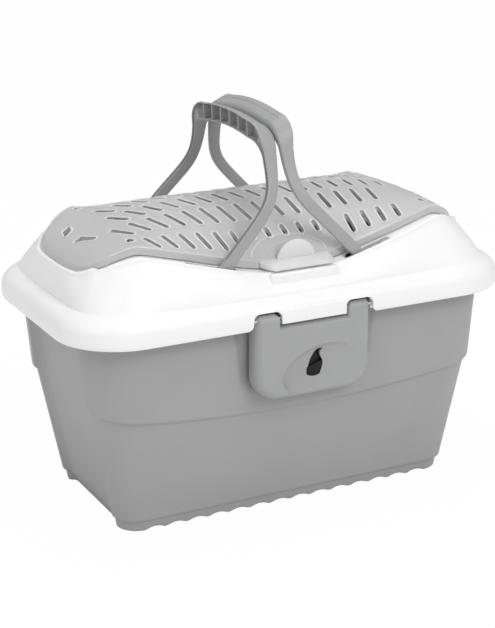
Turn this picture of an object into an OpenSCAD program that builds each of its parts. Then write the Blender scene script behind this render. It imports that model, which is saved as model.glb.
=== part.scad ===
// Pet keeper: a tapered tub, a clip-on lid with a slotted lift-up hatch,
// two swing handles that meet in the middle and two swing latches.
// Millimetres. Origin on the ground under the middle. X runs along the length,
// the front faces -Y.

/* [Tub] */
// Length of the foot on the ground
foot_l = 380; // [360:1:400]
// Width of the foot on the ground
foot_w = 180; // [165:1:190]
// Height of the foot step
foot_h = 13; // [9:0.5:18]
// Height of the step round the body, at the corners
step_z = 133; // [115:1:145]
// How far that step sags in the middle of the front and back
step_sag = 17; // [4:1:25]
// How far the upper band stands out over the lower body
step_out = 3.5; // [2:0.5:5]
// Plastic thickness of the tub and the lid
wall = 2.6; // [2:0.1:3.2]
// Thickness of the ribbed floor
floor_t = 6; // [5:0.5:9]
// Spacing of the floor ribs
rib_pitch = 24; // [20:1:30]
// Depth of the grooves between the floor ribs
rib_groove = 2.6; // [1.5:0.1:3.2]
// Depth of the flat recess in each short side
side_dent = 5; // [0:0.5:5.5]

/* [Lid] */
// Length of the lid rim
rim_l = 500; // [480:1:530]
// Width of the lid rim
rim_w = 280; // [270:1:300]
// Corner radius of the lid rim
rim_r = 69; // [60:1:80]
// Height of the lower edge of the rim
rim_z = 213; // [205:1:225]
// Height of the rolled rim
rim_h = 28.5; // [24:0.5:34]
// Height of the top of the lid wall above the rim, in the middle of the front
saddle_h = 49.5; // [45:0.5:56]
// How far the four end humps rise above that
hump_h = 29.5; // [15:0.5:36]
// Where the humps peak, from the middle
hump_x = 167; // [150:1:180]

/* [Hatch] */
// Distance from the end of the rim to the end of the hatch
hatch_in_x = 33; // [31:1:40]
// Distance from the side of the rim to the side of the hatch
hatch_in_y = 42; // [41:1:45]
// Height of the hatch ridge above the lower edge of its band, in the middle
dome_h = 55; // [40:1:65]
// Height of the upright band along the hatch edge
band_h = 8; // [5:0.5:11]
// Plastic thickness of the hatch
hatch_t = 2.4; // [2:0.1:3]
// Width of the ventilation slots
slot_w = 5.2; // [3.5:0.1:6.5]

/* [Handles] */
// Distance of the handle pivots from the middle of the pair
pivot_x = 84; // [80:1:87]
// How far the pair of handles stands to the left of the middle
pair_off = 8; // [4:1:9]
// Height of the left grip's underside above the handle pivots
grip_rise = 125; // [116:1:134]
// How much higher the right grip stands
grip_step = 8; // [4:1:10]
// Length of the grips between their shoulders
grip_l = 112; // [100:1:124]
// How far the middle of a grip rises over its ends
grip_arch = 4; // [0:0.5:6]
// How far the pair of handles leans to the left at rest, in degrees
handle_lean = 1.2; // [0:0.2:2]
// Height of a grip
grip_h = 17; // [14:0.5:20]
// Width of one grip
grip_w = 18; // [14:0.5:20]
// Width of the handle legs
leg_w = 12.5; // [10:0.5:14]
// Thickness of the handle legs
leg_t = 6.5; // [5:0.5:7]

/* [Latches] */
// Width of a latch
latch_w = 132; // [120:1:150]
// Height of a latch plate
latch_h = 79; // [74:1:84]
// Depth of a latch plate
latch_t = 18; // [16:0.5:18]
// Width of each hinge arm of a latch
arm_w = 29; // [24:1:34]
// Depth of the finger dish in a latch
dish_d = 4.5; // [2:0.5:5]

/* [Fits] */
// Radius of the latch hinge pins
latch_pin_r = 2; // [1.5:0.1:2.5]
// Radius of the handle pivot pins
handle_pin_r = 2.5; // [2:0.1:3]
// Radius of the hatch hinge pins
hatch_pin_r = 2.2; // [1.8:0.1:2.6]
// Radial play of a pin in the piece that turns on it
run_fit = 0.08; // [0.04:0.01:0.1]
// Radial play of a pin in the piece that holds it
hold_fit = 0.02; // [0.01:0.01:0.03]
// Gap between pieces that move past each other
gap = 0.8; // [0.5:0.1:1.2]

/* [Hidden] */

// Finish colours
tub_grey = [0.62, 0.63, 0.64];
lid_white = [0.95, 0.95, 0.95];
hatch_grey = [0.74, 0.75, 0.76];
tab_grey = [0.86, 0.87, 0.88];
latch_grey = [0.60, 0.61, 0.62];
catch_black = [0.06, 0.06, 0.07];
pin_steel = [0.55, 0.55, 0.57];

// How finely the rings are divided: straight front, straight side, corner
ring_front = 16;
ring_side = 6;
ring_corner = 7;
ring_n = 2 * (ring_front + ring_side) + 4 * ring_corner;
$fn = 48;

rim_hx = rim_l / 2;
rim_hy = rim_w / 2;
rim_top = rim_z + rim_h;

// Body of the tub: half sizes and corner radii at each height
foot_hx = foot_l / 2;
foot_hy = foot_w / 2;
foot_r = 23;
foot_flare = 1.5;
foot_ledge = 3;
low_hx = foot_hx + foot_flare + foot_ledge;
low_hy = foot_hy + foot_flare + foot_ledge;
low_r = foot_r + foot_ledge;
mid_hx = rim_hx - 33;
mid_hy = rim_hy - 25;
mid_r = 42;
top_z = rim_z - 5;
top_hx = rim_hx - 22;
top_hy = rim_hy - 18;
top_r = 51;
lip_z = rim_z + 15;
lip_out = 6;
lip_t = 2.6;

// Outline of the top of the lid wall and of the hatch
wall_in_x = 25;
wall_in_y = 27;
wall_hx = rim_hx - wall_in_x;
wall_hy = rim_hy - wall_in_y;
wall_n = 3.3;
hatch_hx = rim_hx - hatch_in_x;
hatch_hy = rim_hy - hatch_in_y;
hatch_n = 4;
opening_in = 11;
crease_hx = rim_hx - 19;
crease_hy = rim_hy - 12.5;
crease_r = rim_r - 12;
crease_lift = 8;

saddle_z = rim_z + saddle_h;
saddle_half = 40;
end_z = saddle_z + 4.5;
seat_gap = 0.4;
seat_out = 1.2;
seat_drop = 0.7;
end_rise = 6;
end_rise_x = 165;

// Handle pivots
pivot_y = wall_hy - wall - leg_t / 2 - 2.4;
pivot_z = saddle_z - 4.5;
grip_x = grip_w / 2 + gap / 2;
top_tilt = 3.8;
eye_r = 7;
pocket_side = 1.4;
pocket_out = 32;
pocket_in = 23;
pocket_turn = 4;
lug_t = 4;
pocket_deep = eye_r + 1.5;
folded_rise = 42;

// Latch hinge
hinge_y = rim_hy - 4;
hinge_z = rim_z + 8.5;
latch_eye_r = 6;
notch_hx = latch_w / 2 + gap;
tongue_hx = latch_w / 2 - arm_w - gap;
notch_top = hinge_z + latch_eye_r + 2;
notch_back = hinge_y - latch_eye_r - 1.5;
plate_front = hinge_y + latch_eye_r;
plate_back = plate_front - latch_t;
plate_top = rim_z + 1;
plate_bottom = plate_top - latch_h;
plate_corner = 28;
plate_skin = 8;
plate_round = 5;
hinge_boss = 7.5;
tongue_out = 1;
eye_in = 0.2;

// Catch on the tub and its slot in the latch
catch_z = plate_top - latch_h * 0.57;
catch_hx = 7;
catch_hz = 11;
catch_fill = 0.8;
pad_y = plate_back - 1;
pad_hx = catch_hx + 7;
pad_hz = catch_hz + 7;
pad_t = 5.6;
catch_base = 2;
recess_deep = 1.4;
recess_side = 13;
recess_foot = 2;

// Hatch hinge at the back
hatch_axis_y = hatch_hy + 6;
hatch_axis_z = saddle_z + 7;
knuckle_x = 40;
knuckle_w = 9;
knuckle_r = 4.6;
bracket_w = 9;

// Tab at the front of the hatch and its keeper on the lid
tab_hx = 40;
tab_out = 20;
tab_h = 7.5;
tab_gap = 0.05;
disc_r = 22;
disc_t = 3;
keeper_hx = 38;
keeper_out = wall_hy + 8;

// ---- Curves and surfaces ----

function mix(a, b, t) = a + (b - a) * t;
function smooth(t) = t * t * (3 - 2 * t);
function clamp01(t) = min(1, max(0, t));

// Rounded rectangle, anticlockwise from the left end of the front side
function rounded_ring(hx, hy, r, dent = 0) =
    let (cx = hx - r, cy = hy - r)
    concat(
        [for (i = [0 : ring_front - 1]) [mix(-cx, cx, i / ring_front), -hy]],
        [for (i = [0 : ring_corner - 1]) let (a = -90 + 90 * i / ring_corner)
            [cx + r * cos(a), -cy + r * sin(a)]],
        [for (i = [0 : ring_side - 1]) [hx - side_in(i, dent), mix(-cy, cy, i / ring_side)]],
        [for (i = [0 : ring_corner - 1]) let (a = 90 * i / ring_corner)
            [cx + r * cos(a), cy + r * sin(a)]],
        [for (i = [0 : ring_front - 1]) [mix(cx, -cx, i / ring_front), hy]],
        [for (i = [0 : ring_corner - 1]) let (a = 90 + 90 * i / ring_corner)
            [-cx + r * cos(a), cy + r * sin(a)]],
        [for (i = [0 : ring_side - 1]) [side_in(i, dent) - hx, mix(cy, -cy, i / ring_side)]],
        [for (i = [0 : ring_corner - 1]) let (a = 180 + 90 * i / ring_corner)
            [-cx + r * cos(a), -cy + r * sin(a)]]);

// The recess of the short sides leaves out the first point of each side
function side_in(i, dent) = i < 1 ? 0 : dent;

base_ring = rounded_ring(rim_hx, rim_hy, rim_r);

// Superellipse with the same number of points, on the same rays
function super_ring(a, b, n) =
    [for (p = base_ring)
        let (u = p.x / rim_hx, v = p.y / rim_hy,
             s = pow(pow(abs(u), n) + pow(abs(v), n), -1 / n))
        [a * u * s, b * v * s]];

function at_z(ring, z) = [for (p = ring) [p.x, p.y, z]];

// Half width of the hatch at x
function hatch_y(x) =
    hatch_hy * pow(max(0.0001, 1 - pow(min(1, abs(x) / hatch_hx), hatch_n)), 1 / hatch_n);

// Height of the seam between the lid and the hatch at x: a saddle, then a hump
function seam_z(x) =
    let (s = clamp01((abs(x) - saddle_half) / (hump_x - saddle_half)),
         d = clamp01((abs(x) - hump_x) / (hatch_hx - hump_x)))
    abs(x) < hump_x
        ? saddle_z + hump_h * (0.75 * s + 0.25 * smooth(s))
        : end_z + (saddle_z + hump_h - end_z) * (1 - pow(d, 1.5));

// Height of the hatch ridge at x
function ridge_z(x) =
    end_z + band_h
    + (saddle_z + dome_h - end_z - band_h)
      * pow(max(0.0001, 1 - pow(min(1, abs(x) / hatch_hx), 4)), 0.8);

// Height of the outer face of the hatch
function hatch_top(x, y) =
    let (e = seam_z(x) + band_h, r = ridge_z(x))
    e + (r - e) * (1 - pow(min(1, abs(y) / hatch_y(x)), 2.2));

// Faces between rings of one length; closed joins the last ring to the first
function ring_faces(rings, n, closed) =
    [for (k = [0 : rings - (closed ? 1 : 2)]) for (j = [0 : n - 1])
        let (a = k * n + j, b = k * n + (j + 1) % n,
             c = ((k + 1) % rings) * n + (j + 1) % n, d = ((k + 1) % rings) * n + j)
        each [[a, d, c], [a, c, b]]];

function flat(lists) = [for (l = lists) each l];

// A wall that closes on itself, such as a rim
module loft_loop(rings) {
    polyhedron(flat(rings), ring_faces(len(rings), len(rings[0]), true), convexity = 12);
}

// A body with a cap on its first and its last ring
module loft_cup(rings) {
    n = len(rings[0]);
    m = len(rings);
    caps = [[for (j = [0 : n - 1]) j], [for (j = [n - 1 : -1 : 0]) (m - 1) * n + j]];
    polyhedron(flat(rings), concat(ring_faces(m, n, false), caps), convexity = 12);
}

// ---- Tub ----

function step_at(x) = step_z - step_sag * (1 - pow(min(1, abs(x) / mid_hx), 2));

// Ring on the wall between two levels, at a height that follows the step
function step_ring(low, low_z, high, high_z, lift) =
    [for (j = [0 : ring_n - 1])
        let (z = step_at(high[j].x) + lift, t = (z - low_z) / (high_z - low_z))
        [mix(low[j].x, high[j].x, t), mix(low[j].y, high[j].y, t), z]];

function tub_rings(inset, dent) =
    let (low = rounded_ring(low_hx - inset, low_hy - inset, low_r, dent),
         mid = rounded_ring(mid_hx - inset, mid_hy - inset, mid_r, dent),
         band_mid = rounded_ring(mid_hx + step_out - inset, mid_hy + step_out - inset,
                                 mid_r + step_out, dent),
         top = rounded_ring(top_hx - inset, top_hy - inset, top_r, dent))
    [at_z(low, foot_h),
     step_ring(low, foot_h, mid, step_z, -2),
     step_ring(band_mid, step_z, top, top_z, 1.5),
     at_z(top, top_z)];

module tub_shell() {
    outer = tub_rings(0, side_dent);
    inner = tub_rings(wall, side_dent);
    lip_hx = top_hx + 2;
    lip_hy = top_hy + 1;
    loft_cup(concat(
        [at_z(rounded_ring(foot_hx, foot_hy, foot_r, side_dent), 0),
         at_z(rounded_ring(foot_hx + foot_flare, foot_hy + foot_flare, foot_r, side_dent),
              foot_h - 1)],
        outer,
        [at_z(rounded_ring(lip_hx, lip_hy, top_r), lip_z - lip_t - lip_out / 2),
         at_z(rounded_ring(lip_hx + lip_out, lip_hy + lip_out, top_r + lip_out),
              lip_z - lip_t),
         at_z(rounded_ring(lip_hx + lip_out, lip_hy + lip_out, top_r + lip_out), lip_z),
         at_z(rounded_ring(lip_hx - wall, lip_hy - wall, top_r - wall), lip_z),
         inner[3],
         inner[2],
         inner[1],
         at_z(rounded_ring(low_hx - wall, low_hy - wall, low_r - wall, side_dent),
              foot_h + wall + 3),
         at_z(rounded_ring(foot_hx - wall, foot_hy - wall, foot_r - wall, side_dent), floor_t)]));
}

// One groove across the underside of the foot, rounded in steps
module floor_groove() {
    half = rib_pitch * 0.42;
    hull()
        for (step = [[1, 0], [0.62, 0.62], [0.25, 0.94], [0.1, 1]])
            translate([-step[0] * half, -rim_hy, -1])
                cube([2 * step[0] * half, rim_w, 1 + step[1] * rib_groove]);
}

module floor_grooves() {
    grooves = floor(foot_l / rib_pitch) - 1;
    for (i = [0 : grooves - 1])
        translate([(i - (grooves - 1) / 2) * rib_pitch, 0, 0])
            floor_groove();
}

// Distance of the front wall of the tub from the middle at a height over the step
function front_wall(z) =
    mix(mid_hy + step_out, top_hy, (z - step_z) / (top_z - step_z));

// Shallow recess behind a latch, wider at the top
module latch_recess() {
    low = plate_bottom - 3;
    high = top_z + 6;
    for (end = [[low, latch_w / 2 + recess_foot], [high, latch_w / 2 + recess_side]])
        translate([-end[1], -rim_hy, end[0]])
            cube([2 * end[1], rim_hy - front_wall(end[0]) + recess_deep, 0.1]);
}

// Flats in the lip that let the latches and their hinge blocks pass
module lip_notches() {
    half = notch_hx + hinge_boss + gap;
    for (turn = [0, 180])
        rotate([0, 0, turn])
            translate([-half, -rim_hy, top_z + 5])
                cube([2 * half, rim_hy - plate_back + gap, lip_z - top_z]);
}

module tub() {
    color(tub_grey)
        difference() {
            union() {
                difference() {
                    tub_shell();
                    for (turn = [0, 180])
                        rotate([0, 0, turn])
                            hull()
                                latch_recess();
                }
                for (turn = [0, 180])
                    rotate([0, 0, turn])
                        translate([-pad_hx, -pad_y, catch_z - pad_hz])
                            cube([2 * pad_hx, pad_t, 2 * pad_hz]);
            }
            floor_grooves();
            lip_notches();
        }
}

// ---- Lid ----

function lid_crease(inset, drop) =
    [for (p = rounded_ring(crease_hx - inset, crease_hy - inset, crease_r))
        let (corner = pow(abs(p.x * p.y) / (crease_hx * crease_hy), 4))
        [p.x, p.y, rim_top + crease_lift * corner - drop]];

// The wall stands higher round the ends of the hatch
function wall_rise(x) = end_rise * smooth(clamp01((abs(x) - end_rise_x) / 30));

function wall_ring(inset, drop) =
    [for (p = super_ring(wall_hx - inset, wall_hy - inset, wall_n))
        [p.x, p.y, seam_z(p.x) + wall_rise(p.x) - seat_gap - drop]];

function seat_ring(out, drop) =
    [for (p = super_ring(hatch_hx + out, hatch_hy + out, hatch_n))
        [p.x, p.y, seam_z(p.x) - seat_gap - drop]];

function opening_ring(drop) =
    [for (p = super_ring(hatch_hx - opening_in, hatch_hy - opening_in, hatch_n))
        [p.x, p.y, seam_z(p.x) - seat_gap - drop]];

function rim_ring(inset, r, z) = at_z(rounded_ring(rim_hx - inset, rim_hy - inset, r), rim_z + z);

module lid_shell() {
    loft_loop([
        rim_ring(1.5, rim_r - 1, 0),
        rim_ring(0.3, rim_r, 4),
        rim_ring(0, rim_r, 11),
        rim_ring(2.5, rim_r - 2, 19),
        rim_ring(7, rim_r - 6, 25),
        lid_crease(0, 0),
        wall_ring(-1.2, 3),
        wall_ring(0.6, 0.4),
        wall_ring(2.6, 0),
        seat_ring(seat_out, seat_drop),
        opening_ring(0),
        opening_ring(wall),
        wall_ring(3.5, wall + 4.6),
        lid_crease(2.8, 1.2),
        rim_ring(9.6, rim_r - 8, 22.4),
        rim_ring(5.3, rim_r - 4.5, 17.4),
        rim_ring(wall, rim_r - wall, 11),
        rim_ring(wall + 1.5, rim_r - 3.5, 0)]);
}

// Blocks in the rim that hold the latch pin, seen from the front
module hinge_blocks() {
    block_y = rim_hy - 3.5;
    block_d = block_y - notch_back;
    for (x = [-notch_hx - hinge_boss, -tongue_hx, notch_hx])
        translate([x, -block_y, hinge_z - latch_eye_r])
            cube([x == -tongue_hx ? 2 * tongue_hx : hinge_boss, block_d, 2 * latch_eye_r - 0.5]);
}

// The rim stands a little prouder between the arms of a latch
module tongue() {
    low = rim_z + 3;
    translate([-tongue_hx, -rim_hy - tongue_out, low])
        cube([2 * tongue_hx, tongue_out + 3, hinge_z + latch_eye_r + 3 - low]);
}

// Room for the arms of the latch, and the shorter skirt between them
module hinge_notches() {
    for (x = [-notch_hx, tongue_hx])
        translate([x, -rim_hy - 10, rim_z - 10])
            cube([notch_hx - tongue_hx, rim_hy + 10 - notch_back, notch_top - rim_z + 10]);
    translate([-notch_hx, -rim_hy - 10, rim_z - 10])
        cube([2 * notch_hx, rim_hy + 10 - notch_back, 13]);
}

// Line along the underside of a folded leg, at distance d from its pivot
function folded_low(d) =
    pivot_z + tan(folded_rise) * d - (leg_w / 2 + 1) / cos(folded_rise);

// Distance from the middle of the lid to the pivots of the handle on one side
function pivot_at(side) = pivot_x - side * pair_off;

// Places a profile drawn in X and Z in the plane of a front handle foot
module foot_plane(px, width) {
    translate([px, -pivot_y, 0])
        rotate([0, 0, pocket_turn])
            translate([0, width / 2, 0])
                rotate([90, 0, 0])
                    linear_extrude(height = width)
                        children();
}

// Trough under the lid's ledge for one handle foot and its folded leg
module pocket_block(px) {
    low = pivot_z - pocket_deep - wall;
    end = pocket_out + lug_t;
    steps = 6;
    foot_plane(px, leg_t + 2 * (pocket_side + lug_t) - 1.4)
        polygon(concat(
            [[-pocket_in - lug_t, low], [eye_r / 2 + wall, low], [end, folded_low(end) - wall]],
            [for (k = [0 : steps]) let (d = mix(end, -pocket_in - lug_t, k / steps))
                [d, seam_z(px + d) - seat_gap - 1]]));
}

module pocket_cut(px) {
    // The upright leg turns inwards just over the pivot
    translate([px - pocket_in, -pivot_y - leg_t / 2 - pocket_side, pivot_z - 1])
        cube([pocket_in - handle_pin_r - 2, leg_t + 2 * pocket_side + 2, hump_h + 30]);
    foot_plane(px, leg_t + 2 * pocket_side)
        polygon([[-pocket_in, pivot_z - pocket_deep], [eye_r / 2, pivot_z - pocket_deep],
                 [pocket_out, folded_low(pocket_out)], [pocket_out, saddle_z + hump_h + 30],
                 [-pocket_in, saddle_z + hump_h + 30]]);
}

handle_pin_l = leg_t + 2 * (pocket_side + lug_t - 1.5);

// Blind bore through both lugs, opened from inside the lid
module handle_bore(px, r) {
    translate([px, -pivot_y - handle_pin_l / 2 - 0.2, pivot_z])
        rotate([-90, 0, 0])
            cylinder(r = r, h = handle_pin_l + 10);
}

// Brackets on the back ledge that carry the hatch pins
module hatch_brackets() {
    for (x = [-1, 1]) for (side = [-1, 1])
        translate([x * knuckle_x + side * (knuckle_w / 2 + gap / 2 + bracket_w / 2)
                   - bracket_w / 2, hatch_axis_y - knuckle_r, saddle_z - wall - 1])
            cube([bracket_w, 2 * knuckle_r, hatch_axis_z - saddle_z + wall + 1 + knuckle_r]);
}

// Repeats what is drawn at the right front at the back, or for the left side
module both_feet(side) {
    for (turn = [0, 1])
        mirror([side < 0 ? 1 : 0, 0, 0])
            mirror([0, turn, 0])
                children();
}

module lid() {
    color(lid_white)
        difference() {
            union() {
                lid_shell();
                for (side = [-1, 1])
                    both_feet(side)
                        pocket_block(pivot_at(side));
                for (turn = [0, 180])
                    rotate([0, 0, turn]) {
                        hinge_blocks();
                        tongue();
                    }
                hatch_brackets();
                translate([-keeper_hx, -keeper_out, saddle_z - 15])
                    cube([2 * keeper_hx, keeper_out - wall_hy + 4, 14]);
            }
            for (turn = [0, 180])
                rotate([0, 0, turn]) {
                    hinge_notches();
                    translate([-latch_w, -hinge_y, hinge_z])
                        rotate([0, 90, 0])
                            cylinder(r = latch_pin_r + hold_fit, h = latch_w + notch_hx + hinge_boss - 2);
                }
            for (side = [-1, 1])
                both_feet(side) {
                    pocket_cut(pivot_at(side));
                    handle_bore(pivot_at(side), handle_pin_r + hold_fit);
                }
            translate([-rim_hx, hatch_axis_y, hatch_axis_z])
                rotate([0, 90, 0])
                    cylinder(r = hatch_pin_r + run_fit, h = rim_l);
        }
}

// ---- Hatch ----

// Slots and holes are laid out on a hatch of this size and stretched to the real one
plan_l = 434;
plan_w = 196;

// Slot rows: distance from the middle, slot length, first and last slot, spacing
slot_rows = [[-80, 20, -148, 130, 18.5],
             [-45, 27, -165, 138, 19],
             [-10, 26, -155, 150, 19],
             [24, 25, -155, 150, 19],
             [56, 22, -145, 145, 19],
             [82, 14, -130, 130, 19]];
short_slot = 0.55;
short_shift = 6;
tab_recess_hx = 48;

dome_steps = [0.25, 0.5, 0.72, 0.9];

function dome_ring(part, down) =
    [for (p = super_ring(hatch_hx * part, hatch_hy * part, hatch_n))
        [p.x, p.y, hatch_top(p.x, p.y) - down]];

function band_ring(inset, up) =
    [for (p = super_ring(hatch_hx - inset, hatch_hy - inset, hatch_n))
        [p.x, p.y, seam_z(p.x) + up]];

module hatch_shell() {
    rings = concat(
        [for (s = dome_steps) dome_ring(s, hatch_t)],
        [band_ring(hatch_t, band_h - hatch_t),
         band_ring(hatch_t, 0),
         band_ring(0, 0),
         band_ring(0, band_h - 0.8),
         band_ring(0.8, band_h + 0.3)],
        [for (i = [len(dome_steps) - 1 : -1 : 0]) dome_ring(dome_steps[i], 0)]);
    n = ring_n;
    m = len(rings);
    low = m * n;
    high = m * n + 1;
    apex_z = hatch_top(0, 0);
    points = concat(flat(rings), [[0, 0, apex_z - hatch_t], [0, 0, apex_z]]);
    faces = concat(ring_faces(m, n, false),
        [for (j = [0 : n - 1]) [low, j, (j + 1) % n]],
        [for (j = [0 : n - 1]) [high, (m - 1) * n + (j + 1) % n, (m - 1) * n + j]]);
    polyhedron(points, faces, convexity = 8);
}

// The slots fan out a little from one end of the hatch to the other
function slot_lean(x) = 0.18 - 0.0022 * x;

module slot(x, y, l) {
    reach = l / 2 - slot_w / 2;
    lean = slot_lean(x);
    hull() {
        translate([x - lean * reach, y + reach]) circle(d = slot_w, $fn = 6);
        translate([x + lean * reach, y - reach]) circle(d = slot_w, $fn = 6);
    }
}

module hatch_slots() {
    translate([0, 0, saddle_z + band_h])
        linear_extrude(height = 2 * dome_h)
            scale([2 * hatch_hx / plan_l, 2 * hatch_hy / plan_w]) {
            for (row = slot_rows)
                for (x = [row[2] : row[4] : row[3]])
                    if (row != slot_rows[0] || abs(x) > tab_recess_hx)
                        slot(x, row[0], row[1]);
                    else
                        slot(x, row[0] + short_shift, row[1] * short_slot);
            for (side = [-1, 1]) {
                translate([side * 167, -70]) circle(r = 4, $fn = 8);
                translate([side * 167, 70]) circle(r = 4, $fn = 8);
                polygon([[side * 203, -4], [side * 194, -3], [side * 180, -40]]);
                polygon([[side * 197, 36], [side * 189, 36], [side * 192, 23], [side * 201, 22]]);
            }
        }
}

module hatch() {
    color(hatch_grey)
        difference() {
            hatch_shell();
            hatch_slots();
        }
}

// Eye against the back of the hatch that turns on a hatch pin
module hatch_hinge(side) {
    back = hatch_hy + tab_gap;
    color(hatch_grey)
        difference() {
            union() {
                translate([side * knuckle_x - knuckle_w / 2, back, hatch_axis_z - knuckle_r])
                    cube([knuckle_w, hatch_axis_y - back, 1.6 * knuckle_r]);
                translate([side * knuckle_x - knuckle_w / 2, hatch_axis_y, hatch_axis_z])
                    rotate([0, 90, 0])
                        cylinder(r = knuckle_r, h = knuckle_w);
            }
            translate([side * knuckle_x - knuckle_w, hatch_axis_y, hatch_axis_z])
                rotate([0, 90, 0])
                    cylinder(r = hatch_pin_r + hold_fit, h = 2 * knuckle_w);
        }
}

// Thumb tab: a shelf over the keeper and an upright half disc
module hatch_tab() {
    tab_z = saddle_z + 1;
    tab_y = -hatch_hy - tab_gap;
    color(tab_grey) {
        translate([-tab_hx, tab_y - tab_out, tab_z])
            cube([2 * tab_hx, tab_out, tab_h]);
        intersection() {
            translate([0, tab_y - 1, tab_z + tab_h])
                rotate([90, 0, 0])
                    cylinder(r = disc_r, h = disc_t);
            translate([-disc_r, tab_y - disc_t - 2, tab_z + tab_h - 1])
                cube([2 * disc_r, disc_t + 2, disc_r + 2]);
        }
    }
}

// ---- Handles ----

shoulder_steps = 7;
leg_steps = 10;
knee_x = 10;
knee_1 = 0.575;
knee_2 = 0.49;
toe_in = 25;

function bezier(a, b, c, d, t) =
    let (s = 1 - t)
    s * s * s * a + 3 * s * s * t * b + 3 * s * t * t * c + t * t * t * d;

function grip_z(rise) = pivot_z + rise + grip_h / 2;

// Where the leg ends and the shoulder begins, and where the grip begins
function leg_top(rise) = [grip_x, -grip_l / 2 - toe_in, grip_z(rise) - 20];
function grip_end(rise) = [grip_x, -grip_l / 2 + 6, grip_z(rise)];

// From the foot inwards, then straight up from the knee
function leg_path(rise) =
    [for (i = [0 : leg_steps - 1])
        bezier([pivot_x, -pivot_y, pivot_z],
               [grip_x + knee_x, -pivot_y, pivot_z + rise * knee_1],
               [grip_x + 1, -pivot_y + 9, pivot_z + rise * knee_2],
               leg_top(rise), i / leg_steps)];

function shoulder_path(rise) =
    let (top = leg_top(rise), end = grip_end(rise))
    [for (i = [0 : shoulder_steps])
        bezier(top, top + [0, 4, 14], [grip_x, top.y + 13, end.z], end, i / shoulder_steps)];

// The grip rises a little towards its middle
function arch_path(rise) =
    [for (y = [-grip_l / 4, 0, grip_l / 4])
        [grip_x, y, grip_z(rise) + grip_arch * (1 - pow(2 * y / grip_l, 2))]];

function turned(path) = [for (i = [len(path) - 1 : -1 : 0]) [path[i].x, -path[i].y, path[i].z]];

function handle_path(rise) =
    let (half = concat(leg_path(rise), shoulder_path(rise)))
    concat(half, arch_path(rise), turned(half));

function unit(v) = v / norm(v);

// Section of the handle at point i of its path: a flat band that widens up the
// leg and thickens into the grip, with its corners cut. The top slopes inwards.
function handle_ring(path, i) =
    let (last = len(path) - 1,
         along = unit(path[min(last, i + 1)] - path[max(0, i - 1)]),
         across = unit([max(abs(along.z), 0.05), 0, -along.x * sign(along.z)]),
         out = cross(across, along),
         end = min(i, last - i),
         broad = smooth(clamp01((end - leg_steps / 2) / (leg_steps / 2 + 3))),
         thick = smooth(clamp01((end - leg_steps + 1) / shoulder_steps)),
         w = mix(leg_w, grip_w, broad) / 2,
         t = mix(leg_t, grip_h, thick) / 2,
         tilt = top_tilt * thick,
         c = min(w, t) * 0.3)
    [for (q = [[w, c - t], [w - c, -t], [c - w, -t], [-w, c - t],
               [-w, t - c - tilt], [c - w, t - tilt], [w - c, t + tilt], [w, t - c + tilt]])
        path[i] + q[0] * across + q[1] * out];

grip_cells = 7;
cell_rib = 2.2;
cell_deep = 3.5;
cell_edge = 3;

// Open cells along the outer face of the grip
module grip_cells_cut(rise) {
    pitch = (grip_l - 10) / grip_cells;
    for (i = [0 : grip_cells - 1])
        translate([grip_x + grip_w / 2 - cell_deep,
                   (i - grip_cells / 2) * pitch + cell_rib / 2,
                   grip_z(rise) - grip_h / 2 + cell_edge])
            cube([cell_deep + 5, pitch - cell_rib, grip_h - 2 * cell_edge + 3]);
}

// Leans a handle about its pivots
module leaned(angle) {
    translate([pivot_x, 0, pivot_z])
        rotate([0, angle, 0])
            translate([-pivot_x, 0, -pivot_z])
                children();
}

// The right handle, drawn round the middle of the pair; the left one is turned round
module handle(rise) {
    path = handle_path(rise);
    color(latch_grey)
        difference() {
            union() {
                loft_cup([for (i = [0 : len(path) - 1]) handle_ring(path, i)]);
                for (side = [-1, 1])
                    translate([pivot_x, side * pivot_y + leg_t / 2, pivot_z])
                        rotate([90, 0, 0])
                            cylinder(r = eye_r, h = leg_t);
            }
            grip_cells_cut(rise);
            translate([pivot_x, rim_hy, pivot_z])
                rotate([90, 0, 0])
                    cylinder(r = handle_pin_r + run_fit, h = rim_w);
        }
}

module handle_right() {
    translate([-pair_off, 0, 0])
        leaned(-handle_lean)
            handle(grip_rise + grip_step);
}

module handle_left() {
    translate([-pair_off, 0, 0])
        rotate([0, 0, 180])
            leaned(handle_lean)
                handle(grip_rise);
}

module handle_pin(side_x, side_y) {
    color(pin_steel)
        translate([side_x * pivot_at(side_x), side_y * pivot_y + handle_pin_l / 2, pivot_z])
            rotate([90, 0, 0])
                cylinder(r = handle_pin_r, h = handle_pin_l);
}

// ---- Latches ----

// Outline of a latch from the front, anticlockwise: the plate and its two arms
function latch_outline(inset) =
    let (hx = latch_w / 2 - inset, arm = latch_w / 2 - arm_w + inset,
         top = hinge_z + latch_eye_r - inset, mid = plate_top - inset,
         low = plate_bottom + inset, r = plate_corner - inset, c = 4)
    concat(
        [for (i = [0 : 6]) let (a = 180 + 15 * i) [-hx + r + r * cos(a), low + r + r * sin(a)]],
        [for (i = [0 : 6]) let (a = 270 + 15 * i) [hx - r + r * cos(a), low + r + r * sin(a)]],
        [[hx, top - c], [hx - c, top], [arm + c, top], [arm, top - c], [arm, mid],
         [-arm, mid], [-arm, top - c], [-arm - c, top], [c - hx, top], [-hx, top - c]]);

// Plate and arms as one slab, its front edges rounded over
module latch_body() {
    over = 1;
    layers = [[latch_t + over, 0], [plate_round, 0], [plate_round * 0.45, plate_round * 0.16],
              [plate_round * 0.15, plate_round * 0.45], [0, plate_round * 0.85]];
    difference() {
        loft_cup([for (layer = layers)
            [for (p = latch_outline(layer[1])) [p.x, layer[0] - plate_front, p.y]]]);
        translate([-latch_w, -plate_back, plate_bottom - over])
            cube([2 * latch_w, 2 * over, 2 * latch_h]);
    }
}

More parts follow.
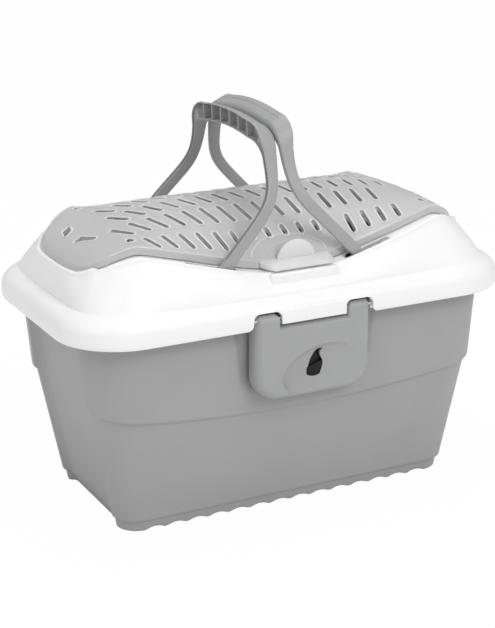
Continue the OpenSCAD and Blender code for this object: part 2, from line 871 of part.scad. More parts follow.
module latch_arm_backs() {
    deep = 2 * latch_eye_r;
    translate([-latch_w, latch_eye_r - hinge_y, plate_top])
        cube([2 * latch_w, latch_t, latch_t]);
    translate([-latch_w, -hinge_y, hinge_z])
        cube([2 * latch_w, latch_eye_r + 2, deep]);
}

// Round backs of the arms, about the pin
module latch_eyes() {
    for (x = [-latch_w / 2, latch_w / 2 - arm_w])
        intersection() {
            translate([x, -hinge_y, hinge_z])
                rotate([0, 90, 0])
                    cylinder(r = latch_eye_r - eye_in, h = arm_w);
            translate([x - 1, -hinge_y - 0.5, hinge_z - latch_eye_r])
                cube([arm_w + 2, 2 * latch_eye_r, 2 * latch_eye_r]);
        }
}

// Oval finger dish, a flat bowl in the face of the plate
module dish() {
    dish_hx = latch_w * 0.34;
    dish_hz = latch_h * 0.29;
    translate([4, -plate_front, catch_z - 5])
        rotate([0, -8, 0])
            scale([dish_hx, dish_d, dish_hz])
                sphere(r = 1, $fn = 28);
}

// Flame shape of the slot and of the catch in it, about its middle
flame_mid = [2, 0];
flame = [[8.4, 14.3], [4.2, 14.6], [0.1, 12.4], [-3, 8], [-5.7, 2.7], [-7.7, -4.7],
         [-8.8, -11.4], [-6, -13.4], [-0.8, -14.1], [4.9, -12.7], [7.1, -8.3],
         [8.8, -2.7], [8.5, 1.8], [6.4, 6.1], [5.8, 10.6]];

module catch_slot() {
    translate([flame_mid.x, -plate_back + 1, catch_z])
        rotate([90, 0, 0])
            linear_extrude(height = latch_t + 2)
                polygon(flame);
}

// Hollow back of the plate
module plate_hollow() {
    rim = 4;
    hx = latch_w / 2 - rim;
    r = plate_corner - rim;
    low = plate_bottom + rim;
    high = plate_top - rim;
    translate([0, -plate_back + 1, 0])
        rotate([90, 0, 0])
            linear_extrude(height = latch_t - plate_skin + 1)
                polygon(concat(
                    [for (i = [0 : 6]) let (a = 180 + 15 * i)
                        [-hx + r + r * cos(a), low + r + r * sin(a)]],
                    [for (i = [0 : 6]) let (a = 270 + 15 * i)
                        [hx - r + r * cos(a), low + r + r * sin(a)]],
                    [[hx, high], [-hx, high]]));
}

module latch() {
    color(latch_grey)
        difference() {
            union() {
                difference() {
                    latch_body();
                    latch_arm_backs();
                }
                latch_eyes();
            }
            plate_hollow();
            dish();
            catch_slot();
            translate([-latch_w, -hinge_y, hinge_z])
                rotate([0, 90, 0])
                    cylinder(r = latch_pin_r + run_fit, h = 2 * latch_w);
        }
}

module latch_pin() {
    pin_l = 2 * (notch_hx + hinge_boss - 3);
    color(pin_steel)
        translate([-pin_l / 2, -hinge_y, hinge_z])
            rotate([0, 90, 0])
                cylinder(r = latch_pin_r, h = pin_l);
}

// Hook on the tub that fills the slot of a closed latch
module catch() {
    root_y = pad_y + catch_base - 0.5;
    nose_y = plate_front - dish_d + 1;
    color(catch_black)
        union() {
            translate([-catch_hx - 4, -pad_y - catch_base, catch_z - catch_hz - 4])
                cube([2 * catch_hx + 8, catch_base, 2 * catch_hz + 8]);
            translate([flame_mid.x, -root_y, catch_z])
                rotate([90, 0, 0])
                    linear_extrude(height = nose_y - root_y, scale = catch_fill)
                        scale([catch_fill, catch_fill])
                            polygon(flame);
        }
}

module hatch_pin(side) {
    pin_l = knuckle_w + gap + 2 * bracket_w - 4;
    color(pin_steel)
        translate([side * knuckle_x - pin_l / 2, hatch_axis_y, hatch_axis_z])
            rotate([0, 90, 0])
                cylinder(r = hatch_pin_r, h = pin_l);
}

tub();
lid();
hatch();
hatch_tab();
hatch_hinge(-1);  // hatch_hinge_left
hatch_hinge(1);  // hatch_hinge_right
handle_right();
handle_left();
latch();  // latch_front
rotate([0, 0, 180]) latch();  // latch_back
catch();  // catch_front
rotate([0, 0, 180]) catch();  // catch_back
latch_pin();  // latch_pin_front
rotate([0, 0, 180]) latch_pin();  // latch_pin_back
hatch_pin(-1);  // hatch_pin_left
hatch_pin(1);  // hatch_pin_right
handle_pin(-1, -1);  // handle_pin_front_left
handle_pin(-1, 1);  // handle_pin_back_left
handle_pin(1, -1);  // handle_pin_front_right
handle_pin(1, 1);  // handle_pin_back_right
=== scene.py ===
"""The look of the pet keeper: fine shells, materials, light and camera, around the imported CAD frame."""
import math
import bmesh
import bpy
from mathutils import Matrix, Vector


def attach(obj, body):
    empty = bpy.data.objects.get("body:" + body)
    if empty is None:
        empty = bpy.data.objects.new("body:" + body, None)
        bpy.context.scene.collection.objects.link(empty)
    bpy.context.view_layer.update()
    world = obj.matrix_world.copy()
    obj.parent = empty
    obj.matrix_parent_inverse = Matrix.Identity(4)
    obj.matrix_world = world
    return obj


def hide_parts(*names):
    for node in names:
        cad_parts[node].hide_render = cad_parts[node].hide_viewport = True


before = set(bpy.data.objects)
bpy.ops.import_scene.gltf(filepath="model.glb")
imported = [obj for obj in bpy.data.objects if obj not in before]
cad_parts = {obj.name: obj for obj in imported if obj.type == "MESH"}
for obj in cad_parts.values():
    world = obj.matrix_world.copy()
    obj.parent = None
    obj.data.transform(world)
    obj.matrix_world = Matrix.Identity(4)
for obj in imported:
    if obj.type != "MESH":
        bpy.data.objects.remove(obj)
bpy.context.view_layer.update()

MM = 0.001

# ---- Sizes, in millimetres, as in the CAD ----

FOOT_HX, FOOT_HY, FOOT_R = 190, 90, 23
FOOT_H = 13
STEP_Z, STEP_SAG, STEP_OUT = 133, 17, 3.5
WALL = 2.6
FLOOR_T = 6
RIB_PITCH, RIB_GROOVE, RIB_SHARE = 24, 2.6, 0.42
SIDE_DENT = 5
RIM_HX, RIM_HY, RIM_R = 250, 140, 69
RIM_Z, RIM_H = 213, 28.5
WAIST_HX, WAIST_HY, WAIST_R = RIM_HX - 33, RIM_HY - 25, 42
NECK_HX, NECK_HY, NECK_R, NECK_Z = RIM_HX - 22, RIM_HY - 18, 51, RIM_Z - 5
LIP_HX, LIP_HY, LIP_R, LIP_Z = RIM_HX - 20, RIM_HY - 17, 51, RIM_Z + 15
SADDLE_Z = 262.5
HUMP_H, HUMP_X = 29.5, 167
END_Z = 267
SADDLE_HALF = 40
HATCH_HX, HATCH_HY, HATCH_N = 217, 98, 4
DOME_H, BAND_H, HATCH_T = 55, 8, 2.4
SLOT_W = 5.2
WALL_HX, WALL_HY, WALL_N = 225, 113, 3.3
WALL_SWELL_X, WALL_STEP_X = 165, 203
LEG_W, LEG_T = 12.5, 6.5
PIVOT_X, PIVOT_Y, PIVOT_Z = 84, WALL_HY - WALL - LEG_T / 2 - 2.4, 258
PAIR_OFF = 8
GRIP_RISE, GRIP_STEP = 125, 8
GRIP_L, GRIP_H, GRIP_W, GRIP_ARCH = 112, 17, 18, 4
TOP_TILT = 3.8
LEAN = 1.2
EYE_R = 7
POCKET_SIDE, POCKET_OUT, POCKET_IN, POCKET_TURN = 1.4, 32, 23, 4
FOLDED_RISE = 42
HANDLE_PIN_R = 2.5
LATCH_W, LATCH_H, LATCH_T, ARM_W = 132, 79, 18, 29
LATCH_EYE_R = 6
HINGE_Y, HINGE_Z = RIM_HY - 4, RIM_Z + 8.5
PLATE_FRONT = HINGE_Y + LATCH_EYE_R
PLATE_BACK = PLATE_FRONT - LATCH_T
PLATE_TOP = RIM_Z + 1
PLATE_BOTTOM = PLATE_TOP - LATCH_H
CATCH_Z = PLATE_TOP - LATCH_H * 0.57
GAP = 0.8
HATCH_AXIS_Y, HATCH_AXIS_Z = HATCH_HY + 6, SADDLE_Z + 7
KNUCKLE_X, KNUCKLE_W, BRACKET_W = 40, 9, 9
NOTCH_HX = LATCH_W / 2 + GAP
TONGUE_HX = LATCH_W / 2 - ARM_W - GAP
HINGE_BOSS = 7.5
NOTCH_BACK, NOTCH_TOP = HINGE_Y - LATCH_EYE_R - 1.5, HINGE_Z + LATCH_EYE_R + 2
NOTCH_ROUND = 7


# ---- Curves shared by the pieces ----

def mix(a, b, t):
    return a + (b - a) * t


def clamp01(t):
    return min(1.0, max(0.0, t))


def smooth(t):
    t = clamp01(t)
    return t * t * (3 - 2 * t)


def seam_z(x):
    """Seam of the hatch with the lid: a saddle, a hump at each end, and a fall to the ends."""
    s = clamp01((abs(x) - SADDLE_HALF) / (HUMP_X - SADDLE_HALF))
    d = clamp01((abs(x) - HUMP_X) / (HATCH_HX - HUMP_X))
    if abs(x) < HUMP_X:
        return SADDLE_Z + HUMP_H * (0.75 * s + 0.25 * smooth(s))
    return END_Z + (SADDLE_Z + HUMP_H - END_Z) * (1 - d ** 1.5)


def ridge_z(x):
    """Crest of the hatch over its middle line."""
    rest = max(0.0001, 1 - min(1, abs(x) / HATCH_HX) ** 4)
    return END_Z + BAND_H + (SADDLE_Z + DOME_H - END_Z - BAND_H) * rest ** 0.8


def hatch_y(x):
    """Half width of the hatch."""
    return HATCH_HY * max(0.0001, 1 - min(1, abs(x) / HATCH_HX) ** HATCH_N) ** (1 / HATCH_N)


def hatch_top(x, y):
    """Height of the hatch's outer face."""
    edge = seam_z(x) + BAND_H
    return edge + (ridge_z(x) - edge) * (1 - min(1, abs(y) / hatch_y(x)) ** 2.2)


def wall_rise(x):
    """The wall top is higher round the ends of the hatch, beyond a short step."""
    return 2 * smooth((abs(x) - WALL_SWELL_X) / 30) + 4 * smooth((abs(x) - WALL_STEP_X) / 3)


def step_at(x, half):
    """Height of the step round the tub's waist, which sags in the middle."""
    return STEP_Z - STEP_SAG * (1 - min(1, abs(x) / half) ** 2)


# Points along a straight front, a straight side and a corner, and round a whole ring
FRONT, SIDE, CORNER = 112, 32, 14
RING = 2 * (FRONT + SIDE) + 4 * CORNER


def arc(x, y, r, start, end, steps):
    turn = [math.radians(mix(start, end, i / steps)) for i in range(steps + 1)]
    return [(x + r * math.cos(a), y + r * math.sin(a)) for a in turn]


def circle(x, y, r, points):
    return arc(x, y, r, 0, 360, points)[:-1]


def side_in(t, dent):
    """The recess of a short side, soft at both ends; t runs from 0 to 1 along the side."""
    edge = 0.045
    return dent * smooth(min(t, 1 - t) / edge)


def rounded_ring(hx, hy, r, dent=0.0):
    """Rounded rectangle, anticlockwise from the left end of the front side."""
    cx, cy = hx - r, hy - r

    def corner(x, y, start):
        return arc(x, y, r, start, start + 90, CORNER)[:-1]

    front = [mix(-cx, cx, i / FRONT) for i in range(FRONT)]
    side = [(side_in(i / SIDE, dent), mix(-cy, cy, i / SIDE)) for i in range(SIDE)]
    out = [(x, -hy) for x in front] + corner(cx, -cy, -90)
    out += [(hx - inwards, y) for inwards, y in side] + corner(cx, cy, 0)
    out += [(-x, hy) for x in front] + corner(-cx, cy, 90)
    return out + [(inwards - hx, -y) for inwards, y in side] + corner(-cx, -cy, 180)


BASE_RING = rounded_ring(RIM_HX, RIM_HY, RIM_R)


def super_ring(a, b, n):
    """Superellipse with the same number of points, on the same rays."""
    out = []
    for x, y in BASE_RING:
        u, v = x / RIM_HX, y / RIM_HY
        s = (abs(u) ** n + abs(v) ** n) ** (-1 / n)
        out.append((a * u * s, b * v * s))
    return out


def at_z(ring, z):
    return [(x, y, z) for x, y in ring]


# ---- Mesh helpers ----

def linked(name, data):
    """A new object in the scene for a mesh, a lamp or a camera."""
    obj = bpy.data.objects.new(name, data)
    bpy.context.scene.collection.objects.link(obj)
    return obj


def new_object(name, verts, faces, angle=35.0):
    """An object from points in millimetres, its edges sharp over an angle."""
    mesh = bpy.data.meshes.new(name)
    mesh.from_pydata([(x * MM, y * MM, z * MM) for x, y, z in verts], [], faces)
    mesh.validate()
    mesh.update()
    obj = linked(name, mesh)
    shade(obj, angle)
    return obj


def shade(obj, angle):
    mesh = obj.data
    mesh.polygons.foreach_set("use_smooth", [True] * len(mesh.polygons))
    if angle < 180:
        mesh.set_sharp_from_angle(angle=math.radians(angle))
    mesh.update()


def ring_quads(count, n, closed):
    """Faces between rings of n points each; closed joins the last ring to the first."""
    faces = []
    for k in range(count if closed else count - 1):
        for j in range(n):
            a, b = k * n + j, k * n + (j + 1) % n
            d = ((k + 1) % count) * n
            faces.append((a, b, d + (j + 1) % n, d + j))
    return faces


def flat(rings):
    return [p for ring in rings for p in ring]


def solid(name, verts, faces, angle=35.0):
    """An object whose faces all look outwards."""
    obj = new_object(name, verts, faces, angle)
    bm = bmesh.new()
    bm.from_mesh(obj.data)
    bmesh.ops.recalc_face_normals(bm, faces=bm.faces)
    bm.to_mesh(obj.data)
    bm.free()
    return obj


def capped(name, rings, angle=35.0):
    """A closed body through a row of rings, with a flat face over each end."""
    count, n = len(rings), len(rings[0])
    ends = [tuple(range(n))[::-1], tuple(range((count - 1) * n, count * n))]
    return solid(name, flat(rings), ring_quads(count, n, False) + ends, angle)


def bridged(name, bottom, top):
    """A closed body between two outlines of as many points."""
    n = len(bottom)
    faces = [tuple(range(n)), tuple(range(2 * n - 1, n - 1, -1))]
    faces += [(i, i + n, (i + 1) % n + n, (i + 1) % n) for i in range(n)]
    return solid(name, bottom + top, faces)


def baked(obj):
    """Takes the object's modifiers into its mesh."""
    graph = bpy.context.evaluated_depsgraph_get()
    graph.update()
    mesh = bpy.data.meshes.new_from_object(obj.evaluated_get(graph))
    old = obj.data
    obj.modifiers.clear()
    obj.data = mesh
    bpy.data.meshes.remove(old)


def cut(obj, tool, operation="DIFFERENCE"):
    """Takes the tool out of the object, or adds it, and removes the tool."""
    mod = obj.modifiers.new("cut", "BOOLEAN")
    mod.operation = operation
    mod.solver = "EXACT"
    mod.object = tool
    baked(obj)
    bpy.data.objects.remove(tool)


def box(name, low, high):
    (x0, y0, z0), (x1, y1, z1) = low, high
    verts = [(x0, y0, z0), (x1, y0, z0), (x1, y1, z0), (x0, y1, z0),
             (x0, y0, z1), (x1, y0, z1), (x1, y1, z1), (x0, y1, z1)]
    faces = [(0, 3, 2, 1), (4, 5, 6, 7), (0, 1, 5, 4), (1, 2, 6, 5), (2, 3, 7, 6), (3, 0, 4, 7)]
    return new_object(name, verts, faces)


def prism(name, outline, axis, low, high):
    """An outline drawn in the plane across an axis, pushed from low to high along it."""
    rings = []
    for h in (low, high):
        rings.append([{"x": (h, u, v), "y": (u, h, v), "z": (u, v, h)}[axis] for u, v in outline])
    return bridged(name, *rings)


def both_sides(side, a, b):
    """A span across the object, on the front for side -1 and on the back for side 1."""
    return sorted((side * a, side * b))


def bevel(obj, width, segments=3, angle=35.0):
    mod = obj.modifiers.new("bevel", "BEVEL")
    mod.width = width * MM
    mod.segments = segments
    mod.limit_method = "ANGLE"
    mod.angle_limit = math.radians(angle)
    mod.harden_normals = False
    baked(obj)


def join(name, objs, angle=40.0):
    """One object from several, all at the origin."""
    verts, faces = [], []
    for o in objs:
        base = len(verts)
        verts += [tuple(o.matrix_world @ v.co) for v in o.data.vertices]
        faces += [tuple(base + i for i in p.vertices) for p in o.data.polygons]
        bpy.data.objects.remove(o)
    mesh = bpy.data.meshes.new(name)
    mesh.from_pydata(verts, [], faces)
    mesh.update()
    obj = linked(name, mesh)
    shade(obj, angle)
    return obj


def turned(obj, name, matrix):
    """A copy of the piece with its mesh turned by the matrix, still at the origin."""
    copy = obj.copy()
    copy.data = obj.data.copy()
    copy.name = name
    copy.data.transform(matrix)
    bpy.context.scene.collection.objects.link(copy)
    return copy


# ---- Tub ----

def groove_z(x):
    """Underside of the foot: shallow grooves across it."""
    count = int(2 * FOOT_HX / RIB_PITCH) - 1
    half = RIB_PITCH * RIB_SHARE
    i = round(x / RIB_PITCH + (count - 1) / 2)
    if i < 0 or i > count - 1:
        return 0.0
    t = (x - (i - (count - 1) / 2) * RIB_PITCH) / half
    return RIB_GROOVE * (1 - t * t) if abs(t) < 1 else 0.0


def tub_ring(level, out, dent, inset):
    """Ring at a distance over or under the sagging step."""
    sizes = {}
    ring = []
    for j, (px, _) in enumerate(rounded_ring(WAIST_HX, WAIST_HY, WAIST_R, dent)):
        z = step_at(px, WAIST_HX) + level
        key = round(z, 3)
        if key not in sizes:
            sizes[key] = rounded_ring(*wall_sizes(z, out, inset), dent)
        ring.append((*sizes[key][j], z))
    return ring


def wall_sizes(z, out, inset):
    """Outline sizes of the plain tapered wall, without the step, pushed out by a distance."""
    low = (FOOT_HX + 4.5, FOOT_HY + 4.5, FOOT_R + 3)
    mid = (WAIST_HX, WAIST_HY, WAIST_R)
    top = (NECK_HX, NECK_HY, NECK_R)
    if z < STEP_Z:
        hx, hy, r = (mix(a, b, (z - FOOT_H) / (STEP_Z - FOOT_H)) for a, b in zip(low, mid))
    else:
        hx, hy, r = (mix(a, b, (z - STEP_Z) / (NECK_Z - STEP_Z)) for a, b in zip(mid, top))
    return hx + out - inset, hy + out - inset, r + out - inset * 0.6


def band_out(z):
    """How far the upper band stands out: all of it at the step, none at the neck."""
    return STEP_OUT * clamp01((NECK_Z - z) / (NECK_Z - STEP_Z))


def wall_rings(inset):
    """Rings of one side of the tub's wall, from just over the foot to under the lip."""
    rings = []
    for up in (1.0, 3, 10, 30, 60):
        z = FOOT_H + up
        rings.append(at_z(rounded_ring(*wall_sizes(z, 0, inset), SIDE_DENT), z))
    for level, out in ((-14, 0), (-4, 0), (-1.6, 0.15), (-0.8, 0.6), (0.0, 1.8), (0.6, 2.9),
                       (1.4, 3.35), (3.0, STEP_OUT), (10, STEP_OUT * 0.93)):
        rings.append(tub_ring(level, out, SIDE_DENT + min(out, STEP_OUT), inset))
    for z in (160, 180, 196, NECK_Z):
        out = band_out(z)
        rings.append(at_z(rounded_ring(*wall_sizes(z, out, inset), SIDE_DENT + out), z))
    return rings


def foot_ring(out, dent):
    return rounded_ring(FOOT_HX + out, FOOT_HY + out, FOOT_R + out, SIDE_DENT + dent)


def make_tub():
    """Shell with foot, wall, lip and floor, the gaps behind the latches, and the pads of the catches."""
    rings = []
    for out, z in ((-3.5, 0.0), (-1.2, 0.35), (-0.3, 1.2), (0.0, 2.6)):
        rings.append([(x, y, z + groove_z(x) * (1 - z / 12)) for x, y in foot_ring(out, 1.5)])
    for out, z in ((0.6, 6), (1.2, 10.4), (1.6, 11.6), (2.6, 12.5), (4.0, 13.1)):
        rings.append(at_z(foot_ring(out, 1), z))
    rings += wall_rings(0)
    for out, rounder, drop in ((0, 0, 5.6), (5.4, 5, 3), (6, 6, 2.2), (6, 6, 0.6), (5.4, 5, 0),
                               (-1.8, -2, 0), (-WALL, -WALL, 0.6)):
        rings.append(at_z(rounded_ring(LIP_HX + out, LIP_HY + out, LIP_R + rounder), LIP_Z - drop))
    # The lowest ring inside is left out, for the floor's soft edge
    rings += wall_rings(WALL)[:0:-1]
    for inset, sharper, up in ((1, 1, 4), (4, 4, 0.8), (7, 6, 0)):
        rings.append(at_z(rounded_ring(FOOT_HX - inset, FOOT_HY - inset, FOOT_R - sharper, SIDE_DENT),
                          FLOOR_T + up))
    faces = ring_quads(len(rings), RING, False)
    faces += cap_strips(0, True)
    faces += cap_strips((len(rings) - 1) * RING, False)
    obj = solid("tub_shell", flat(rings), faces, 40)
    pads = []
    pad_y, pad_hx, pad_hz = PLATE_BACK - 1, 14, 18
    notch_half = NOTCH_HX + HINGE_BOSS + GAP
    for side in (-1, 1):
        low, high = both_sides(side, pad_y, pad_y - 5)
        pads.append(box("pad", (-pad_hx, low, CATCH_Z - pad_hz), (pad_hx, high, CATCH_Z + pad_hz)))
        bevel(pads[-1], 1.0)
        cut(obj, recess_tool(side))
        low, high = both_sides(side, PLATE_BACK - GAP, RIM_HY + 5)
        cut(obj, box("notch", (-notch_half, low, RIM_Z), (notch_half, high, RIM_Z + 16)))
    return join("tub_shell", [obj] + pads)


def recess_tool(side):
    """The shallow recess behind a latch, wider at the top, with soft sides."""
    rings = []
    rows, deepening, depth, slope = 12, 5, 2.2, 3
    for k in range(rows + 1):
        z = mix(PLATE_BOTTOM - 3, RIM_Z + 1, k / rows)
        half = LATCH_W / 2 + mix(2, 13, k / rows)
        front = mix(WAIST_HY + STEP_OUT, NECK_HY, (z - STEP_Z) / (NECK_Z - STEP_Z))
        deep = depth * smooth(k / deepening)
        left = [(-half - slope, front + 0.5), (-half, front - deep * 0.6), (5 - half, front - deep)]
        right = [(-x, y) for x, y in left[::-1]]
        behind = [(half + slope, RIM_HY), (-half - slope, RIM_HY)]
        rings.append([(-side * x, side * y, z) for x, y in left + right + behind])
    return capped("recess", rings)


def cap_strips(base, up):
    """Closes a ring by strips between its front and its back points."""
    side = FRONT + 2 * CORNER + SIDE
    back = base + side + FRONT
    faces = [(base + i, base + i + 1, back - i - 1, back - i) for i in range(FRONT)]
    faces.append(tuple(base + i for i in range(FRONT, side + 1)))
    faces.append(tuple(base + i % RING for i in range(side + FRONT, RING + 1)))
    return [face[::-1] for face in faces] if up else faces


# ---- Lid ----

def rim_ring(inset, sharper, z):
    """Ring of the rolled rim, at a height over its lower edge."""
    return at_z(rounded_ring(RIM_HX - inset, RIM_HY - inset, RIM_R - sharper), RIM_Z + z)


def crease_ring(inset, drop):
    """Ring where the rim meets the wall, higher at the corners."""
    hx, hy = RIM_HX - 19, RIM_HY - 12.5
    out = []
    for x, y in rounded_ring(hx - inset, hy - inset, RIM_R - 12):
        corner = (abs(x * y) / (hx * hy)) ** 4
        out.append((x, y, RIM_Z + RIM_H + 8 * corner - drop))
    return out


def wall_top_ring(inset, drop):
    """Ring on the top of the wall round the hatch."""
    return [(x, y, seam_z(x) + wall_rise(x) - 0.4 - drop)
            for x, y in super_ring(WALL_HX - inset, WALL_HY - inset, WALL_N)]


def seat_ring(out, drop):
    """Ring on the ledge that the hatch rests on."""
    return [(x, y, seam_z(x) - 0.4 - drop)
            for x, y in super_ring(HATCH_HX + out, HATCH_HY + out, HATCH_N)]


def between(ring_a, ring_b, t, bulge=0.0):
    """Ring part way between two others, pushed outwards by a bulge."""
    out = []
    for a, b in zip(ring_a, ring_b):
        x, y, z = (mix(a[i], b[i], t) for i in range(3))
        size = math.hypot(x / RIM_HX, y / RIM_HY) or 1
        out.append((x + bulge * x / RIM_HX / size, y + bulge * y / RIM_HY / size, z))
    return out


def make_lid():
    """White ring from the rim's lower edge out and up over the wall, to the hatch's seat and back below."""
    crease, top = crease_ring(0, 0), wall_top_ring(-1.2, 3)
    under_crease, under_top = crease_ring(2.8, 1.2), wall_top_ring(3.5, WALL + 4.6)
    rings = []
    for inset, sharper, z in ((3.4, 3, 0), (1.6, 1, 0.1), (0.7, 0, 1.2), (0.2, 0, 4), (0, 0, 8), (0.1, 0, 12),
                              (0.9, 1, 16), (2.6, 2, 20), (5.2, 4, 23.4), (8.6, 6, 26)):
        rings.append(rim_ring(inset, sharper, z))
    rings.append(between(rings[-1], crease, 0.6))
    for part, bulge in ((0.0, 0.0), (0.04, 0.4), (0.16, 1.0), (0.4, 1.6), (0.7, 1.2), (0.9, 0.5)):
        rings.append(between(crease, top, part, bulge))
    rings.append(top)
    for inset, drop in ((-0.9, 1.4), (0.1, 0.4), (1.2, 0), (2.2, 0.2), (2.6, 0.8)):
        rings.append(wall_top_ring(inset, drop))
    for out, drop in ((1.2, 0.7), (-10.6, 0), (-11, 0.5), (-11, WALL)):
        rings.append(seat_ring(out, drop))
    rings += [under_top, between(under_top, under_crease, 0.5, 1.0), under_crease]
    for inset, sharper, z in ((9.6, 8, 22.4), (5.3, 4.5, 17.4), (WALL, WALL, 11), (WALL + 1.5, 3.5, 0.6)):
        rings.append(rim_ring(inset, sharper, z))
    return solid("lid_shell", flat(rings), ring_quads(len(rings), RING, True), 40)


# ---- Camera, light and floor ----

# Place in metres, angles in degrees, and focal length in pixels of a picture of that height
CAMERA_PLACE = (-0.7807, -1.5364, 0.7468)
CAMERA_YAW, CAMERA_PITCH, CAMERA_ROLL = -26.81, 18.19, -0.4
FOCAL_PX, PICTURE_H, SENSOR = 1691.96, 628, 36
WHITE = (1, 1, 1, 1)
WORLD_LIGHT = 0.45
# Place, target and size in metres, and power in watts
LAMPS = {"key": ((0.5, -2.4, 2.3), (0, 0, 0.15), (1.8, 1.4), 39.5),
         "fill": ((-2.3, -0.5, 2.3), (0, 0, 0.2), (1.6, 1.6), 18),
         "top": ((0.2, 0.5, 2.8), (0, 0, 0.3), (2.0, 1.6), 20)}
FLOOR_HALF, FLOOR_DROP = 9000, 0.4
FLOOR_GLOW = 0.97


def set_inputs(node, values):
    """Gives a node's inputs their values; _ in a key stands for a space."""
    for key, value in values.items():
        node.inputs[key.replace("_", " ")].default_value = value
    return node


def add_node(tree, kind, **values):
    return set_inputs(tree.nodes.new(kind), values)


def new_material(name, **values):
    """A material with its node tree and its shader."""
    mat = bpy.data.materials.new(name)
    mat.use_nodes = True
    tree = mat.node_tree
    return mat, tree, set_inputs(tree.nodes["Principled BSDF"], values)


def add_camera():
    data = bpy.data.cameras.new("camera")
    data.sensor_width = SENSOR
    data.lens = FOCAL_PX * SENSOR / PICTURE_H
    data.clip_end = 20
    cam = linked("camera", data)
    yaw, pitch, roll = (math.radians(a) for a in (CAMERA_YAW, CAMERA_PITCH, CAMERA_ROLL))
    turn = (Matrix.Rotation(yaw, 4, "Z") @ Matrix.Rotation(math.pi / 2 - pitch, 4, "X")
            @ Matrix.Rotation(roll, 4, "Z"))
    cam.matrix_world = Matrix.Translation(CAMERA_PLACE) @ turn
    bpy.context.scene.camera = cam


def mix_shaders(tree, share, first, second, output):
    """Joins two shaders by a share between 0 and 1, into the output node."""
    blend = add_node(tree, "ShaderNodeMixShader")
    for k, source in enumerate((share, first, second)):
        tree.links.new(source.outputs[0], blend.inputs[k])
    tree.links.new(blend.outputs[0], output.inputs[0])


def add_world():
    """Even white light, and full white where the camera sees past the object or through it."""
    world = bpy.data.worlds.new("world")
    bpy.context.scene.world = world
    world.use_nodes = True
    tree = world.node_tree
    tree.nodes.clear()
    light = add_node(tree, "ShaderNodeBackground", Color=WHITE, Strength=WORLD_LIGHT)
    seen = add_node(tree, "ShaderNodeBackground", Color=WHITE, Strength=1.0)
    path = add_node(tree, "ShaderNodeLightPath")
    either = add_node(tree, "ShaderNodeMath")
    either.operation = "MAXIMUM"
    tree.links.new(path.outputs["Is Camera Ray"], either.inputs[0])
    tree.links.new(path.outputs["Is Transmission Ray"], either.inputs[1])
    mix_shaders(tree, either, light, seen, add_node(tree, "ShaderNodeOutputWorld"))


def add_lamp(name, place, target, size, power):
    data = bpy.data.lights.new(name, "AREA")
    data.shape = "RECTANGLE"
    data.size, data.size_y = size
    data.energy = power
    lamp = linked(name, data)
    lamp.location = place
    aim = Vector(target) - Vector(place)
    lamp.rotation_euler = aim.to_track_quat("-Z", "Y").to_euler()


def add_floor():
    """White floor: mostly its own glow for the camera, with enough lit white to hold a shadow."""
    r, z = FLOOR_HALF, -FLOOR_DROP
    floor = new_object("floor", [(-r, -r, z), (r, -r, z), (r, r, z), (-r, r, z)], [(0, 1, 2, 3)])
    mat, tree, shader = new_material("floor", Base_Color=WHITE, Roughness=0.9)
    glow = add_node(tree, "ShaderNodeEmission", Color=WHITE, Strength=1.0)
    path = add_node(tree, "ShaderNodeLightPath")
    share = add_node(tree, "ShaderNodeMath")
    share.operation = "MULTIPLY"
    share.inputs[1].default_value = FLOOR_GLOW
    tree.links.new(path.outputs["Is Camera Ray"], share.inputs[0])
    mix_shaders(tree, share, shader, glow, tree.nodes["Material Output"])
    floor.data.materials.append(mat)


# ---- Materials ----

# How far the gloss varies with wear, either way
WEAR = 0.06


def plastic(name, colour, rough, grain, tone=0.03, through=0.0, shine=0.5):
    """Moulded plastic: a fine grain, faint flow marks in its colour, and wear in its gloss."""
    mat, tree, shader = new_material(name, IOR=1.5, Transmission_Weight=through, Specular_IOR_Level=shine)
    link = tree.links.new
    place = add_node(tree, "ShaderNodeTexCoord").outputs["Object"]
    cloud = add_node(tree, "ShaderNodeTexNoise", Scale=14.0, Detail=4.0)
    link(place, cloud.inputs["Vector"])
    ramp = add_node(tree, "ShaderNodeValToRGB")
    for stop, position, share in zip(ramp.color_ramp.elements, (0.3, 0.7), (1 - tone, 1 + tone)):
        stop.position = position
        stop.color = (*[min(1.0, c * share) for c in colour], 1)
    link(cloud.outputs["Fac"], ramp.inputs["Fac"])
    link(ramp.outputs["Color"], shader.inputs["Base Color"])
    worn = add_node(tree, "ShaderNodeMapRange", To_Min=rough - WEAR, To_Max=rough + WEAR)
    link(cloud.outputs["Fac"], worn.inputs["Value"])
    link(worn.outputs["Result"], shader.inputs["Roughness"])
    if grain:
        fine = add_node(tree, "ShaderNodeTexNoise", Scale=900.0, Detail=2.0)
        link(place, fine.inputs["Vector"])
        bump = add_node(tree, "ShaderNodeBump", Strength=grain, Distance=0.0004)
        link(fine.outputs["Fac"], bump.inputs["Height"])
        link(bump.outputs["Normal"], shader.inputs["Normal"])
    return mat


def steel(name):
    """Drawn wire: fine lines along it, in two greys."""
    mat, tree, shader = new_material(name, Metallic=1.0, Roughness=0.3)
    link = tree.links.new
    place = add_node(tree, "ShaderNodeTexCoord").outputs["Object"]
    stretch = add_node(tree, "ShaderNodeMapping", Scale=(0.05, 1.0, 1.0))
    lines = add_node(tree, "ShaderNodeTexNoise", Scale=300.0)
    ramp = add_node(tree, "ShaderNodeValToRGB")
    ramp.color_ramp.elements[0].color = (0.42, 0.42, 0.44, 1)
    ramp.color_ramp.elements[1].color = (0.62, 0.62, 0.64, 1)
    link(place, stretch.inputs["Vector"])
    link(stretch.outputs["Vector"], lines.inputs["Vector"])
    link(lines.outputs["Fac"], ramp.inputs["Fac"])
    link(ramp.outputs["Color"], shader.inputs["Base Color"])
    return mat


# ---- Lid fittings ----

